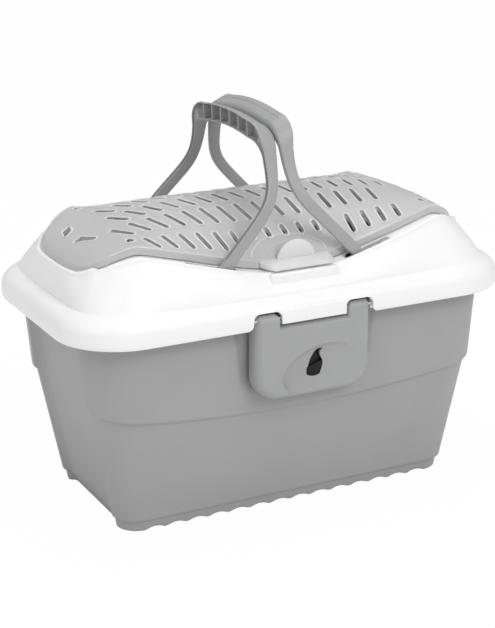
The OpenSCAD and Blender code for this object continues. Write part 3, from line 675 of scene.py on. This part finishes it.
def notch_lid(lid, side):
    """Cuts the gaps for the two arms of a latch, their corners round, and the low one for its plate."""
    low, high = both_sides(side, NOTCH_BACK, RIM_HY + 10)
    r, foot, edge = NOTCH_ROUND, RIM_Z - 10, NOTCH_HX + 1
    for hand in (-1, 1):
        outline = arc(TONGUE_HX + r, NOTCH_TOP - r, r, 90, 180, 8)
        outline += [(TONGUE_HX, foot), (edge + r + 1, foot), (edge + r + 1, RIM_Z)]
        outline += arc(edge + r, RIM_Z + r, r, 270, 180, 8)
        outline += arc(edge - r, NOTCH_TOP - r, r, 0, 90, 8)
        cut(lid, prism("notch", [(hand * x, z) for x, z in outline], "y", low, high))
    cut(lid, box("notch", (-NOTCH_HX, low, foot), (NOTCH_HX, high, RIM_Z + 3)))


def hinge_blocks(side):
    """The blocks beside and between the arms of a latch, which hold its pin."""
    low, high = both_sides(side, NOTCH_BACK, RIM_HY - 3.6)
    z0, z1, end = HINGE_Z - LATCH_EYE_R, HINGE_Z + LATCH_EYE_R - 0.5, NOTCH_HX + HINGE_BOSS
    blocks = []
    for x0, x1 in ((-end, -NOTCH_HX), (-TONGUE_HX, TONGUE_HX), (NOTCH_HX, end)):
        blocks.append(box("block", (x0, low, z0), (x1, high, z1)))
        bevel(blocks[-1], 0.8, 2)
    return blocks


def make_bracket(mid):
    """One of the brackets at the back that hold the hatch's pins."""
    r, low = 4.6, SADDLE_Z - 3.6
    outline = [(HATCH_AXIS_Y - r, low), (HATCH_AXIS_Y + r, low)]
    outline += arc(HATCH_AXIS_Y, HATCH_AXIS_Z, r, 0, 180, 12)
    bracket = prism("bracket", outline, "x", mid - BRACKET_W / 2, mid + BRACKET_W / 2)
    bevel(bracket, 0.6, 2, 50)
    return bracket


def finish_lid(lid):
    """Cuts the notches and pockets, and makes hinge blocks, tongues, troughs, brackets and the keeper."""
    fittings = []
    for side in (-1, 1):
        notch_lid(lid, side)
        fittings += hinge_blocks(side) + [tongue(side)]
        for hand in (-1, 1):
            cut(lid, pocket_tool(hand, side, 0))
            trough = pocket_tool(hand, side, WALL)
            cut(trough, pocket_tool(hand, side, 0))
            fittings.append(trough)
    beside = KNUCKLE_W / 2 + GAP / 2 + BRACKET_W / 2
    fittings += [make_bracket(hand * KNUCKLE_X + away * beside) for hand in (-1, 1) for away in (-1, 1)]
    return join("lid_fittings", fittings + [keeper()])


def tongue(side):
    """The rim between the arms of a latch, a little prouder, its upper corners round."""
    low, high, hx, r = RIM_Z + 3, HINGE_Z + LATCH_EYE_R + 3, TONGUE_HX + 0.5, NOTCH_ROUND
    outline = [(-hx, low), (hx, low)] + arc(hx - r, high - r, r, 0, 90, 8)
    outline += arc(r - hx, high - r, r, 90, 180, 8)
    obj = prism("tongue", outline, "y", *both_sides(side, RIM_HY - 2, RIM_HY + 1))
    bevel(obj, 0.9, 3)
    return obj


def keeper():
    """White bump on the front wall that the hatch tab rests over, its lower corners round."""
    hx, top, low, r = 38, SADDLE_Z - 1, SADDLE_Z - 15, 9
    outline = [(-hx, top)] + arc(r - hx, low + r, r, 180, 270, 8)
    outline += arc(hx - r, low + r, r, 270, 360, 8) + [(hx, top)]
    obj = prism("keeper", outline, "y", -WALL_HY - 8, 4 - WALL_HY)
    bevel(obj, 2.2, 5)
    return obj


def folded_low(d):
    """Line along the underside of a folded leg, at distance d from its pivot."""
    rise = math.radians(FOLDED_RISE)
    return PIVOT_Z + math.tan(rise) * d - (LEG_W / 2 + 1) / math.cos(rise)


def pocket_tool(sx, sy, wall):
    """The hollow of one handle pocket, or its trough where wall is over 0."""
    turn = math.radians(POCKET_TURN)
    half = LEG_T / 2 + POCKET_SIDE + wall
    px = PIVOT_X - sx * PAIR_OFF
    floor, end = PIVOT_Z - EYE_R - 1.5 - wall, POCKET_OUT + wall
    above = SADDLE_Z + HUMP_H + 30
    profile = [(-POCKET_IN - wall, floor), (EYE_R / 2 + wall, floor), (end, folded_low(end) - wall)]
    if wall:
        steps = [mix(end, -POCKET_IN - wall, k / 12) for k in range(13)]
        profile += [(d, seam_z(px + d) - 1.8) for d in steps]
    else:
        profile += [(end, above), (-POCKET_IN, above)]
    rings = []
    for w in (-half, half):
        rings.append([(sx * (px + d * math.cos(turn) - w * math.sin(turn)),
                       -sy * (-PIVOT_Y + d * math.sin(turn) + w * math.cos(turn)), z) for d, z in profile])
    obj = bridged("pocket", *rings)
    if not wall:
        # The upright leg turns inwards just over the pivot
        low, high = both_sides(sy, PIVOT_Y - LEG_T / 2 - POCKET_SIDE - 1.4, PIVOT_Y + LEG_T / 2 + POCKET_SIDE)
        x0, x1 = sorted((sx * (px - POCKET_IN), sx * (px - HANDLE_PIN_R - 2)))
        cut(obj, box("inner", (x0, low, PIVOT_Z - 1), (x1, high, above - 1)), "UNION")
    return obj


# ---- Hatch ----

# Rows of slots: place across, length of a slot, first and last place along, pitch
SLOT_ROWS = [(-80, 20, -148, 130, 18.5), (-45, 27, -165, 138, 19), (-10, 26, -155, 150, 19),
             (24, 25, -155, 150, 19), (56, 22, -145, 145, 19), (82, 14, -130, 130, 19)]
TAB_RECESS_HX = 48
TAB_RECESS_Y = -70
HOLE_X, HOLE_Y, HOLE_R = 167, 70, 4
END_CUTS = [[(203, -7), (194, -8), (181, -43)], [(199, 30), (191, 31), (194, 18), (202, 16)]]
END_CUT_R = 1.6
FAN_LEAN, FAN_TURN = 0.18, 0.0022
BAND_FACE = HATCH_HY + 0.05
# Lines on the hatch round the tab's recess: the outer and the inner one
FRAME_LINE = [(-47, -95.5), (-44.6, -90), (-34, -83), (-24, -79.7), (-8, -78.3), (14, -80), (25, -84),
              (36, -90), (37, -96)]
INNER_LINE = [(-33, -96), (-32, -92), (-23, -88), (-12, -86), (-2, -85), (20, -90), (28, -96)]


def slot_outline(x, y, length, grow=0.0, steps=8):
    """Round-ended slot, leaning as the slots fan along the hatch."""
    lean = FAN_LEAN - FAN_TURN * x
    reach = length / 2 - SLOT_W / 2
    a = Vector((x - lean * reach, y + reach))
    b = Vector((x + lean * reach, y - reach))
    base = math.degrees(math.atan2(b.y - a.y, b.x - a.x))
    r = SLOT_W / 2 + grow
    return arc(b.x, b.y, r, base - 90, base + 90, steps) + arc(a.x, a.y, r, base + 90, base + 270, steps)


def hole_outlines(grow=0.0):
    """Outlines of all the slots, round holes and end cut-outs, pushed out by grow."""
    shapes = []
    for y, length, first, last, pitch in SLOT_ROWS:
        for k in range(int((last - first) / pitch + 0.001) + 1):
            x = first + k * pitch
            if y > TAB_RECESS_Y or abs(x) > TAB_RECESS_HX:
                shapes.append(slot_outline(x, y, length, grow))
            else:
                shapes.append(slot_outline(x, y + 6, length * 0.55, grow))
    for sx in (-1, 1):
        for sy in (-1, 1):
            shapes.append(circle(sx * HOLE_X, sy * HOLE_Y, HOLE_R + grow, 18))
        for points in END_CUTS:
            shapes.append(rounded_shape([(sx * x, y) for x, y in points], END_CUT_R, grow))
    return shapes


def rounded_shape(points, r, grow):
    """Polygon with rounded corners, pushed out by grow."""
    pts = [Vector(p) for p in points]
    if sum(p.cross(after) for p, after in zip(pts, pts[1:] + pts[:1])) < 0:
        pts.reverse()
    out = []
    n = len(pts)
    for i in range(n):
        p, before, after = pts[i], pts[i - 1], pts[(i + 1) % n]
        u, v = (before - p).normalized(), (after - p).normalized()
        half = math.acos(max(-1, min(1, u.dot(v)))) / 2
        reach = min(r / math.tan(half), (before - p).length * 0.4, (after - p).length * 0.4)
        real = reach * math.tan(half)
        centre = p + (u + v).normalized() * (real / math.sin(half))
        start, end = p + u * reach - centre, p + v * reach - centre
        a0, a1 = math.degrees(math.atan2(start.y, start.x)), math.degrees(math.atan2(end.y, end.x))
        out += arc(centre.x, centre.y, real + grow, a0, a1 if a1 > a0 else a1 + 360, 4)
    return out


# Rings of the dome, as parts of its full size
DOME_STEPS = [0.04, 0.09, 0.15, 0.22, 0.3, 0.38, 0.46, 0.54, 0.62, 0.69, 0.76, 0.82, 0.87, 0.91,
              0.945, 0.97, 0.985]


def dome_ring(part, down):
    return [(x, y, hatch_top(x, y) - down)
            for x, y in super_ring(HATCH_HX * part, HATCH_HY * part, HATCH_N)]


def band_ring(inset, up):
    return [(x, y, seam_z(x) + up) for x, y in super_ring(HATCH_HX - inset, HATCH_HY - inset, HATCH_N)]


def make_hatch():
    """Domed shell down to its band, closed over the middle, with all the openings."""
    rings = [dome_ring(s, HATCH_T) for s in DOME_STEPS]
    for inset, up in ((HATCH_T, BAND_H - HATCH_T), (HATCH_T, 0.4), (HATCH_T - 0.5, 0), (0.5, 0), (0, 0.5),
                      (0, BAND_H - 2), (0.35, BAND_H - 0.8), (1.2, BAND_H)):
        rings.append(band_ring(inset, up))
    rings += [dome_ring(s, 0) for s in DOME_STEPS[::-1]]
    n, count = RING, len(rings)
    top = hatch_top(0, 0)
    verts = flat(rings) + [(0, 0, top - HATCH_T), (0, 0, top)]
    low, high = count * n, count * n + 1
    faces = ring_quads(count, n, False)
    faces += [(low, (j + 1) % n, j) for j in range(n)]
    faces += [(high, (count - 1) * n + j, (count - 1) * n + (j + 1) % n) for j in range(n)]
    obj = solid("hatch_shell", verts, faces, 50)
    tools = [prism("hole", shape, "z", SADDLE_Z + 4, SADDLE_Z + DOME_H + 20) for shape in hole_outlines()]
    cut(obj, join("holes", tools))
    shade(obj, 40)
    return obj


def bead(pts, wide, tall, closed=True, sides=10):
    """A low rounded bead along points; wide and tall are the half sizes of its section."""
    n = len(pts)
    verts = []
    for i in range(n):
        before = pts[i - 1] if closed or i else pts[0]
        after = pts[(i + 1) % n] if closed or i < n - 1 else pts[i]
        along = (after - before).normalized()
        side = along.cross(Vector((0, 0, 1))).normalized()
        up = side.cross(along)
        for k in range(sides):
            a = 2 * math.pi * k / sides
            verts.append(tuple(pts[i] + side * (wide * math.cos(a)) + up * (tall * math.sin(a))))
    faces = [(a, d, c, b) for a, b, c, d in ring_quads(n, sides, closed)]
    if not closed:
        faces += [tuple(range(sides)), tuple(range((n - 1) * sides, n * sides))[::-1]]
    return new_object("bead", verts, faces, 180)


def on_hatch(outline, lift=0.0):
    return [Vector((x, y, hatch_top(x, y) + lift)) for x, y in outline]


def collar(inner, outer, deep):
    """The wall that runs down round a hole, from just under the outer face."""
    rings = [on_hatch(inner, -0.1), on_hatch(inner, -deep), on_hatch(outer, -deep), on_hatch(outer, -0.6)]
    return solid("collar", flat(rings), ring_quads(4, len(inner), True), 40)


def refined(points, step=2.0):
    """The same line with points no further apart than a step."""
    out = []
    for (x0, y0), (x1, y1) in zip(points, points[1:]):
        count = max(1, math.ceil(math.hypot(x1 - x0, y1 - y0) / step))
        out += [(mix(x0, x1, i / count), mix(y0, y1, i / count)) for i in range(count)]
    return out + [points[-1]]


def make_beads():
    """Raised rims and collars of the holes, the edge lines of the band, and the frame behind the tab."""
    parts = []
    for inner, middle, outer in zip(hole_outlines(), hole_outlines(1.0), hole_outlines(1.3)):
        parts.append(bead(on_hatch(middle), 1.2, 0.6))
        parts.append(collar(inner, outer, 5.0))
    steps, line_end = 80, 193
    for side in (-1, 1):
        for start, end in ((-line_end, -TAB_RECESS_HX), (TAB_RECESS_HX, line_end)):
            line = []
            for i in range(steps + 1):
                x = mix(start, end, i / steps)
                line.append(Vector((x, side * (hatch_y(x) - 0.4), seam_z(x) + BAND_H - 0.2)))
            parts.append(bead(line, 0.6, 0.6, closed=False))
    parts.append(bead(on_hatch(refined(FRAME_LINE)), 0.9, 0.7, closed=False))
    parts.append(bead(on_hatch(refined(INNER_LINE)), 0.5, 0.45, closed=False))
    return join("hatch_beads", parts, 50)


def make_hinge(name, side):
    """Eye against the back of the hatch, with the bore of its pin."""
    r, bore_r = 4.6, 2.22
    low, high = HATCH_AXIS_Z - r, HATCH_AXIS_Z + 0.6 * r
    outline = [(BAND_FACE, low)] + arc(HATCH_AXIS_Y, HATCH_AXIS_Z, r, 270, 430, 16)
    outline += [(HATCH_AXIS_Y, high), (BAND_FACE, high)]
    mid = side * KNUCKLE_X
    leaf = prism(name, outline, "x", mid - KNUCKLE_W / 2, mid + KNUCKLE_W / 2)
    bevel(leaf, 0.5, 2, 50)
    cut(leaf, prism("bore", circle(HATCH_AXIS_Y, HATCH_AXIS_Z, bore_r, 36), "x", mid - 20, mid + 20))
    shade(leaf, 40)
    return leaf


def make_tab():
    """Thumb shelf that droops and narrows outwards, and the upright half disc."""
    z0, out, disc_r = SADDLE_Z + 1, 20, 22
    steps = 24
    rings = []
    for part in (0, 0.25, 0.5, 0.7, 0.85, 0.95, 1.0):
        half = 40 - 5 * part - 2.5 * smooth((part - 0.6) / 0.4)
        crest = z0 + 7.5 - 1.6 * part - 2.2 * smooth((part - 0.55) / 0.45)
        y, low = -BAND_FACE - part * out, z0 + 0.4 * (part > 0.96)
        across = [mix(-half, half, i / steps) for i in range(steps + 1)]
        ring = [(x, y, mix(crest - 1.8, crest, smooth((half - abs(x)) / 4))) for x in across]
        rings.append(ring + [(-x, y, low) for x in across])
    shelf = capped("shelf", rings, 40)
    bevel(shelf, 0.7, 3, 50)
    disc = prism("disc", arc(0, z0 + 3.5, disc_r, 4, 176, 40), "y", -102, -99)
    bevel(disc, 1.0, 4)
    return join("tab_body", [shelf, disc])


# ---- Handles ----

LEG_PARTS, SHOULDER_PARTS = 10, 7
GRIP_CELLS, CELL_DEEP, LEG_GROOVE, RIB_T = 7, 8, 2.5, 1.8


def bezier(a, b, c, d, t):
    s = 1 - t
    return a * (s ** 3) + b * (3 * s * s * t) + c * (3 * s * t * t) + d * (t ** 3)


def grip_mid(rise):
    return PIVOT_Z + rise + GRIP_H / 2


def handle_path(rise):
    """Points along the right handle, each with how broad and how thick it is there, from 0 to 1."""
    gx, gz = GRIP_W / 2 + GAP / 2, grip_mid(rise)
    foot = Vector((PIVOT_X, -PIVOT_Y, PIVOT_Z))
    knee = Vector((gx + 10, -PIVOT_Y, PIVOT_Z + rise * 0.575))
    over = Vector((gx + 1, 9 - PIVOT_Y, PIVOT_Z + rise * 0.49))
    top = Vector((gx, -GRIP_L / 2 - 25, gz - 20))
    end = Vector((gx, -GRIP_L / 2 + 6, gz))
    half = []

    def add(p, u):
        broad = smooth((u - LEG_PARTS * 0.75) / (LEG_PARTS * 0.6))
        half.append((p, broad, smooth((u - LEG_PARTS + 1) / SHOULDER_PARTS)))

    legs, turns, arch = 48, 28, 28
    for i in range(legs):
        add(bezier(foot, knee, over, top, i / legs), LEG_PARTS * i / legs)
    for i in range(turns + 1):
        p = bezier(top, top + Vector((0, 4, 14)), Vector((gx, top.y + 13, gz)), end, i / turns)
        add(p, LEG_PARTS + SHOULDER_PARTS * i / turns)
    middle = []
    for i in range(1, arch):
        y = mix(end.y, -end.y, i / arch)
        lift = GRIP_ARCH * (1 - (2 * i / arch - 1) ** 2)
        middle.append((Vector((gx, y, gz + lift)), 1.0, 1.0))
    back = [(Vector((p.x, -p.y, p.z)), broad, thick) for p, broad, thick in half[::-1]]
    return half + middle + back


def handle_section(w, t, thick, channel):
    """Section with rounded corners; channel is the depth of the groove in its outer side."""
    c = min(w, t) * 0.42
    tilt = TOP_TILT * thick
    edge = mix(1.0, 2.4, thick)
    low, high = -t + edge, t + tilt - edge
    pts = []
    for x, y, start in ((w - c, c - t, -90), (w - c, t - c, 0), (c - w, t - c, 90), (c - w, c - t, 180)):
        for i in range(6):
            a = math.radians(start + 90 * i / 5)
            px, py = x + c * math.cos(a), y + c * math.sin(a)
            if start == -90:
                py = min(py, low - 0.1)
            if start == 0:
                py = max(py, t - edge + 0.1)
            if y > 0:
                py += tilt * px / w
            pts.append((px, py))
        if start == -90:
            depth = w - channel
            pts += [(w, low), (w - channel * 0.1, low + 0.3), (depth, low + 0.6), (depth, high - 0.6),
                    (w - channel * 0.1, high - 0.3), (w, high)]
    return pts


def make_handle(name, rise):
    """One arch: the swept section, an eye with its bore at each foot, and the ribs between the cells."""
    path = handle_path(rise)
    channel_end = GRIP_L / 2 + 14
    rings = []
    for i, (p, broad, thick) in enumerate(path):
        along = (path[min(len(path) - 1, i + 1)][0] - path[max(0, i - 1)][0]).normalized()
        across = Vector((max(abs(along.z), 0.05), 0, -along.x * math.copysign(1, along.z))).normalized()
        out = across.cross(along)
        w, t = mix(LEG_W - 1, GRIP_W, broad) / 2, mix(LEG_T, GRIP_H, thick) / 2
        channel = mix(LEG_GROOVE, CELL_DEEP, smooth((channel_end - abs(p.y)) / 3))
        section = handle_section(w, t, thick, channel * smooth((p.z - PIVOT_Z - 2 * EYE_R) / EYE_R))
        rings.append([tuple(p + across * a + out * b) for a, b in section])
    obj = capped(name, rings, 50)
    for side in (-1, 1):
        low, high = side * PIVOT_Y - LEG_T / 2, side * PIVOT_Y + LEG_T / 2
        eye = prism("eye", circle(PIVOT_X, PIVOT_Z, EYE_R, 45), "y", low, high)
        bevel(eye, 0.8, 3, 50)
        cut(obj, eye, "UNION")
    cut(obj, prism("bore", circle(PIVOT_X, PIVOT_Z, HANDLE_PIN_R + 0.08, 45), "y", -RIM_HY, RIM_HY))
    pitch = 2 * channel_end / GRIP_CELLS
    gx, gz = GRIP_W / 2 + GAP / 2, grip_mid(rise)
    ribs = []
    for i in range(1, GRIP_CELLS):
        y = (i - GRIP_CELLS / 2) * pitch
        z = gz + GRIP_ARCH * (1 - (y / (GRIP_L / 2 - 6)) ** 2)
        ribs.append(box("rib", (gx + GRIP_W / 2 - CELL_DEEP - 0.4, y - RIB_T / 2, z - GRIP_H / 2 + 2),
                        (gx + GRIP_W / 2 - 0.5, y + RIB_T / 2, z + GRIP_H / 2 + TOP_TILT - 3)))
    return join(name, [obj] + ribs)


# ---- Latches ----

PLATE_CORNER, PLATE_ROUND, PLATE_SIDE = 28, 13, 10
CORNER_STEPS = 18
LATCH_BORE_R = 2.08
QUARTER = [math.radians(a) for a in range(0, 91, 6)]
# Half sizes of the finger dish, its lean about each axis in degrees, and how far right and down it sits
DISH = (45, 5.2, 25)
DISH_LEAN = {"Z": -3, "Y": -8, "X": -4}
DISH_X, DISH_LOW = 3.5, 4.8
FLAME_MID = 2
FLAME = [(8.4, 14.3), (4.2, 14.6), (0.1, 12.4), (-3, 8), (-5.7, 2.7), (-7.7, -4.7), (-8.8, -11.4),
         (-6, -13.4), (-0.8, -14.1), (4.9, -12.7), (7.1, -8.3), (8.8, -2.7), (8.5, 1.8), (6.4, 6.1),
         (5.8, 10.6)]


def latch_outline(inset):
    """Outline of a latch from the front, anticlockwise: the plate and its two arms."""
    hx, arm = LATCH_W / 2 - inset, LATCH_W / 2 - ARM_W + 0.4 * inset
    top, mid = HINGE_Z + LATCH_EYE_R - 0.5 * inset, PLATE_TOP - 0.5 * inset
    low, r = PLATE_BOTTOM + inset, PLATE_CORNER - inset
    outer_r, inner_r = 7 - 0.6 * inset, 9 - 0.6 * inset
    right = arc(hx - r, low + r, r, 270, 360, CORNER_STEPS)
    right += arc(hx - outer_r, top - outer_r, outer_r, 0, 90, 8)
    right += arc(arm + inner_r, top - inner_r, inner_r, 90, 180, 8)
    right += [(arm, mid + 1), (arm - 0.3, mid + 0.3), (arm - 1, mid)]
    return right + [(-x, z) for x, z in right[::-1]]


def flame_outline(grow, steps=4):
    """The flame shape as a smooth curve through its points, pushed out by grow."""
    pts = [Vector(p) for p in FLAME]
    n = len(pts)
    out = []
    for i in range(n):
        a, b, c, d = (pts[(i + k) % n] for k in (-1, 0, 1, 2))
        first, second, third = c - a, 2 * a - 5 * b + 4 * c - d, 3 * b - a - 3 * c + d
        for k in range(steps):
            t = k / steps
            p = 0.5 * (2 * b + first * t + second * t ** 2 + third * t ** 3)
            along = 0.5 * (first + 2 * second * t + 3 * third * t ** 2)
            side = Vector((along.y, -along.x)).normalized() * -grow
            out.append((FLAME_MID + p.x + side.x, CATCH_Z + p.y + side.y))
    return out


def roof_tool():
    """What stands over the latch's upper edge, which rounds back over its hinge."""
    front, over, reach, tall = -PLATE_FRONT, HINGE_Z + 20, 9, 12
    low = HINGE_Z + LATCH_EYE_R - tall
    roof = [(front + reach * (1 - math.cos(a)), low + tall * math.sin(a)) for a in QUARTER]
    outline = [(front - 1, low)] + roof + [(front + reach, over), (front - 1, over)]
    return prism("roof", outline, "x", -LATCH_W, LATCH_W)


def behind_tool():
    """What stands behind the latch's arms, which are round about their pin."""
    eye_r, over, far = LATCH_EYE_R - 0.2, HINGE_Z + 20, 9 - PLATE_BACK
    outline = [(eye_r - HINGE_Y, PLATE_TOP), (eye_r - HINGE_Y, HINGE_Z)]
    outline += arc(-HINGE_Y, HINGE_Z, eye_r, 0, 90, 12)
    outline += [(-HINGE_Y, over), (far, over), (far, PLATE_TOP)]
    return prism("behind", outline, "x", -LATCH_W, LATCH_W)


def hollow_tool():
    """The hollow in the plate's back, inside a rim and behind a skin."""
    rim, skin = 4, 8
    plate = latch_outline(0)
    right, left = plate[:CORNER_STEPS + 1], plate[-CORNER_STEPS - 1:]
    wide, tall = 1 - rim / LATCH_W * 2, 1 - 2 * rim / LATCH_H
    outline = [(x * wide, PLATE_BOTTOM + rim + (z - PLATE_BOTTOM) * tall) for x, z in left + right]
    top = PLATE_TOP - rim
    outline = [(rim - LATCH_W / 2, top)] + outline + [(LATCH_W / 2 - rim, top)]
    return prism("hollow", outline, "y", -PLATE_FRONT + skin, -PLATE_BACK + 2)


def dish_tool():
    """The finger dish, a leaning ellipsoid."""
    bpy.ops.mesh.primitive_uv_sphere_add(segments=96, ring_count=48, radius=MM)
    dish = bpy.context.active_object
    place = Matrix.Translation((DISH_X * MM, -PLATE_FRONT * MM, (CATCH_Z - DISH_LOW) * MM))
    for axis, angle in DISH_LEAN.items():
        place = place @ Matrix.Rotation(math.radians(angle), 4, axis)
    dish.data.transform(place @ Matrix.Diagonal((*DISH, 1)))
    return dish


def make_latch(name):
    """Plate with two arms: its front rounded by rings from the back forwards, then all that is cut out."""
    profile = [(LATCH_T, 0.8), (LATCH_T - 0.8, 0), (PLATE_ROUND + 1, 0)]
    profile += [(PLATE_ROUND * (1 - math.sin(a)), PLATE_SIDE * (1 - math.cos(a))) for a in QUARTER]
    rings = [[(x, depth - PLATE_FRONT, z) for x, z in latch_outline(inset)] for depth, inset in profile]
    plate = capped(name, rings)
    for tool in (roof_tool, behind_tool, hollow_tool, dish_tool):
        cut(plate, tool())
    cut(plate, prism("slot", flame_outline(0), "y", -PLATE_FRONT - 2, -PLATE_BACK + 2))
    cut(plate, prism("bore", circle(-HINGE_Y, HINGE_Z, LATCH_BORE_R, 36), "x", -LATCH_W, LATCH_W))
    shade(plate, 32)
    return plate


def make_catch(name):
    """Base pad and the flame-shaped hook, whose lower half stands forward as a nose."""
    root, step, nose = PLATE_BACK - 0.5, PLATE_FRONT - 9, PLATE_FRONT - 5
    pad = box("pad", (-11, -PLATE_BACK - 0.9, CATCH_Z - 15), (11, -PLATE_BACK + 1, CATCH_Z + 15))
    bevel(pad, 0.6)
    hook = prism("hook", flame_outline(-1.1), "y", -nose, -root)
    bevel(hook, 1.0, 4, 50)
    # Everything over a sloping line across the face stands back
    line = [(-14, CATCH_Z - 6.5), (14, CATCH_Z + 2.5), (14, CATCH_Z + 20), (-14, CATCH_Z + 20)]
    over = prism("over", line, "y", -nose - 1, -step)
    bevel(over, 0.7, 3)
    cut(hook, over)
    return join(name, [pad, hook])


# ---- Putting it together ----

bpy.context.scene.view_settings.view_transform = "Standard"
add_camera()
add_world()
for lamp_name, lamp in LAMPS.items():
    add_lamp(lamp_name, *lamp)
add_floor()

grey = plastic("tub_grey", (0.35, 0.35, 0.352), 0.46, 0.10)
white = plastic("lid_white", (0.89, 0.89, 0.89), 0.4, 0.02, tone=0.01)
clear = plastic("hatch_clear", (0.82, 0.82, 0.825), 0.3, 0.02, tone=0.02, through=0.45)
# The rims and collars are the hatch's own plastic, made paler and less clear here: painted light for the
# light that passes through them, so they stay bright where they stand in shade.
rim_clear_painted_light = plastic("bead_clear_painted_light", (0.9, 0.9, 0.9), 0.3, 0.0, tone=0.01, through=0.25)
pale = plastic("tab_pale", (0.9, 0.9, 0.9), 0.35, 0.02, tone=0.02, through=0.25)
dark_grey = plastic("handle_grey", (0.36, 0.362, 0.365), 0.44, 0.10)
latch_mat = plastic("latch_grey", (0.36, 0.362, 0.365), 0.44, 0.10)
black = plastic("catch_black", (0.004, 0.004, 0.005), 0.2, 0.0, shine=0.25)
wire = steel("pin_steel")

HALF_TURN = Matrix.Rotation(math.pi, 4, "Z")
ASIDE = Matrix.Translation((-PAIR_OFF * MM, 0, 0))


def leaned(angle):
    """Leans a right handle about its pivots."""
    centre = Matrix.Translation((PIVOT_X * MM, 0, PIVOT_Z * MM))
    return centre @ Matrix.Rotation(math.radians(angle), 4, "Y") @ centre.inverted()


def place(obj, mat, body, slot, node=None):
    """Gives a piece its material and body, and hides the CAD node that it stands for. The slot is not used.
    """
    obj.data.materials.clear()
    obj.data.materials.append(mat)
    if node:
        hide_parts(node)
    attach(obj, body)


place(make_tub(), grey, "tub_body", "tub", "tub")
lid = make_lid()
fittings = finish_lid(lid)
shade(lid, 35)
place(lid, white, "lid_body", "lid", "lid")
place(fittings, white, "lid_body", "lid")
place(make_hatch(), clear, "hatch_body", "hatch", "hatch")
place(make_beads(), rim_clear_painted_light, "hatch_body", "hatch")
place(make_hinge("hinge_leaf_left", -1), clear, "hatch_body", "hinge", "hatch_hinge_left")
place(make_hinge("hinge_leaf_right", 1), clear, "hatch_body", "hinge", "hatch_hinge_right")
place(make_tab(), pale, "hatch_body", "tab", "hatch_tab")
right = make_handle("handle_right_shell", GRIP_RISE + GRIP_STEP)
left = make_handle("handle_left_shell", GRIP_RISE)
right.data.transform(ASIDE @ leaned(-LEAN))
left.data.transform(ASIDE @ HALF_TURN @ leaned(LEAN))
place(right, dark_grey, "handle_right_body", "handle", "handle_right")
place(left, dark_grey, "handle_left_body", "handle", "handle_left")
latch_front = make_latch("latch_plate_front")
latch_back = turned(latch_front, "latch_plate_back", HALF_TURN)
place(latch_front, latch_mat, "latch_front_body", "latch", "latch_front")
place(latch_back, latch_mat, "latch_back_body", "latch", "latch_back")
catch_front = make_catch("catch_hook_front")
catch_back = turned(catch_front, "catch_hook_back", HALF_TURN)
place(catch_front, black, "tub_body", "catch", "catch_front")
place(catch_back, black, "tub_body", "catch", "catch_back")

for name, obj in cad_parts.items():
    if "pin" in name:
        for item in obj.material_slots:
            item.material = wire
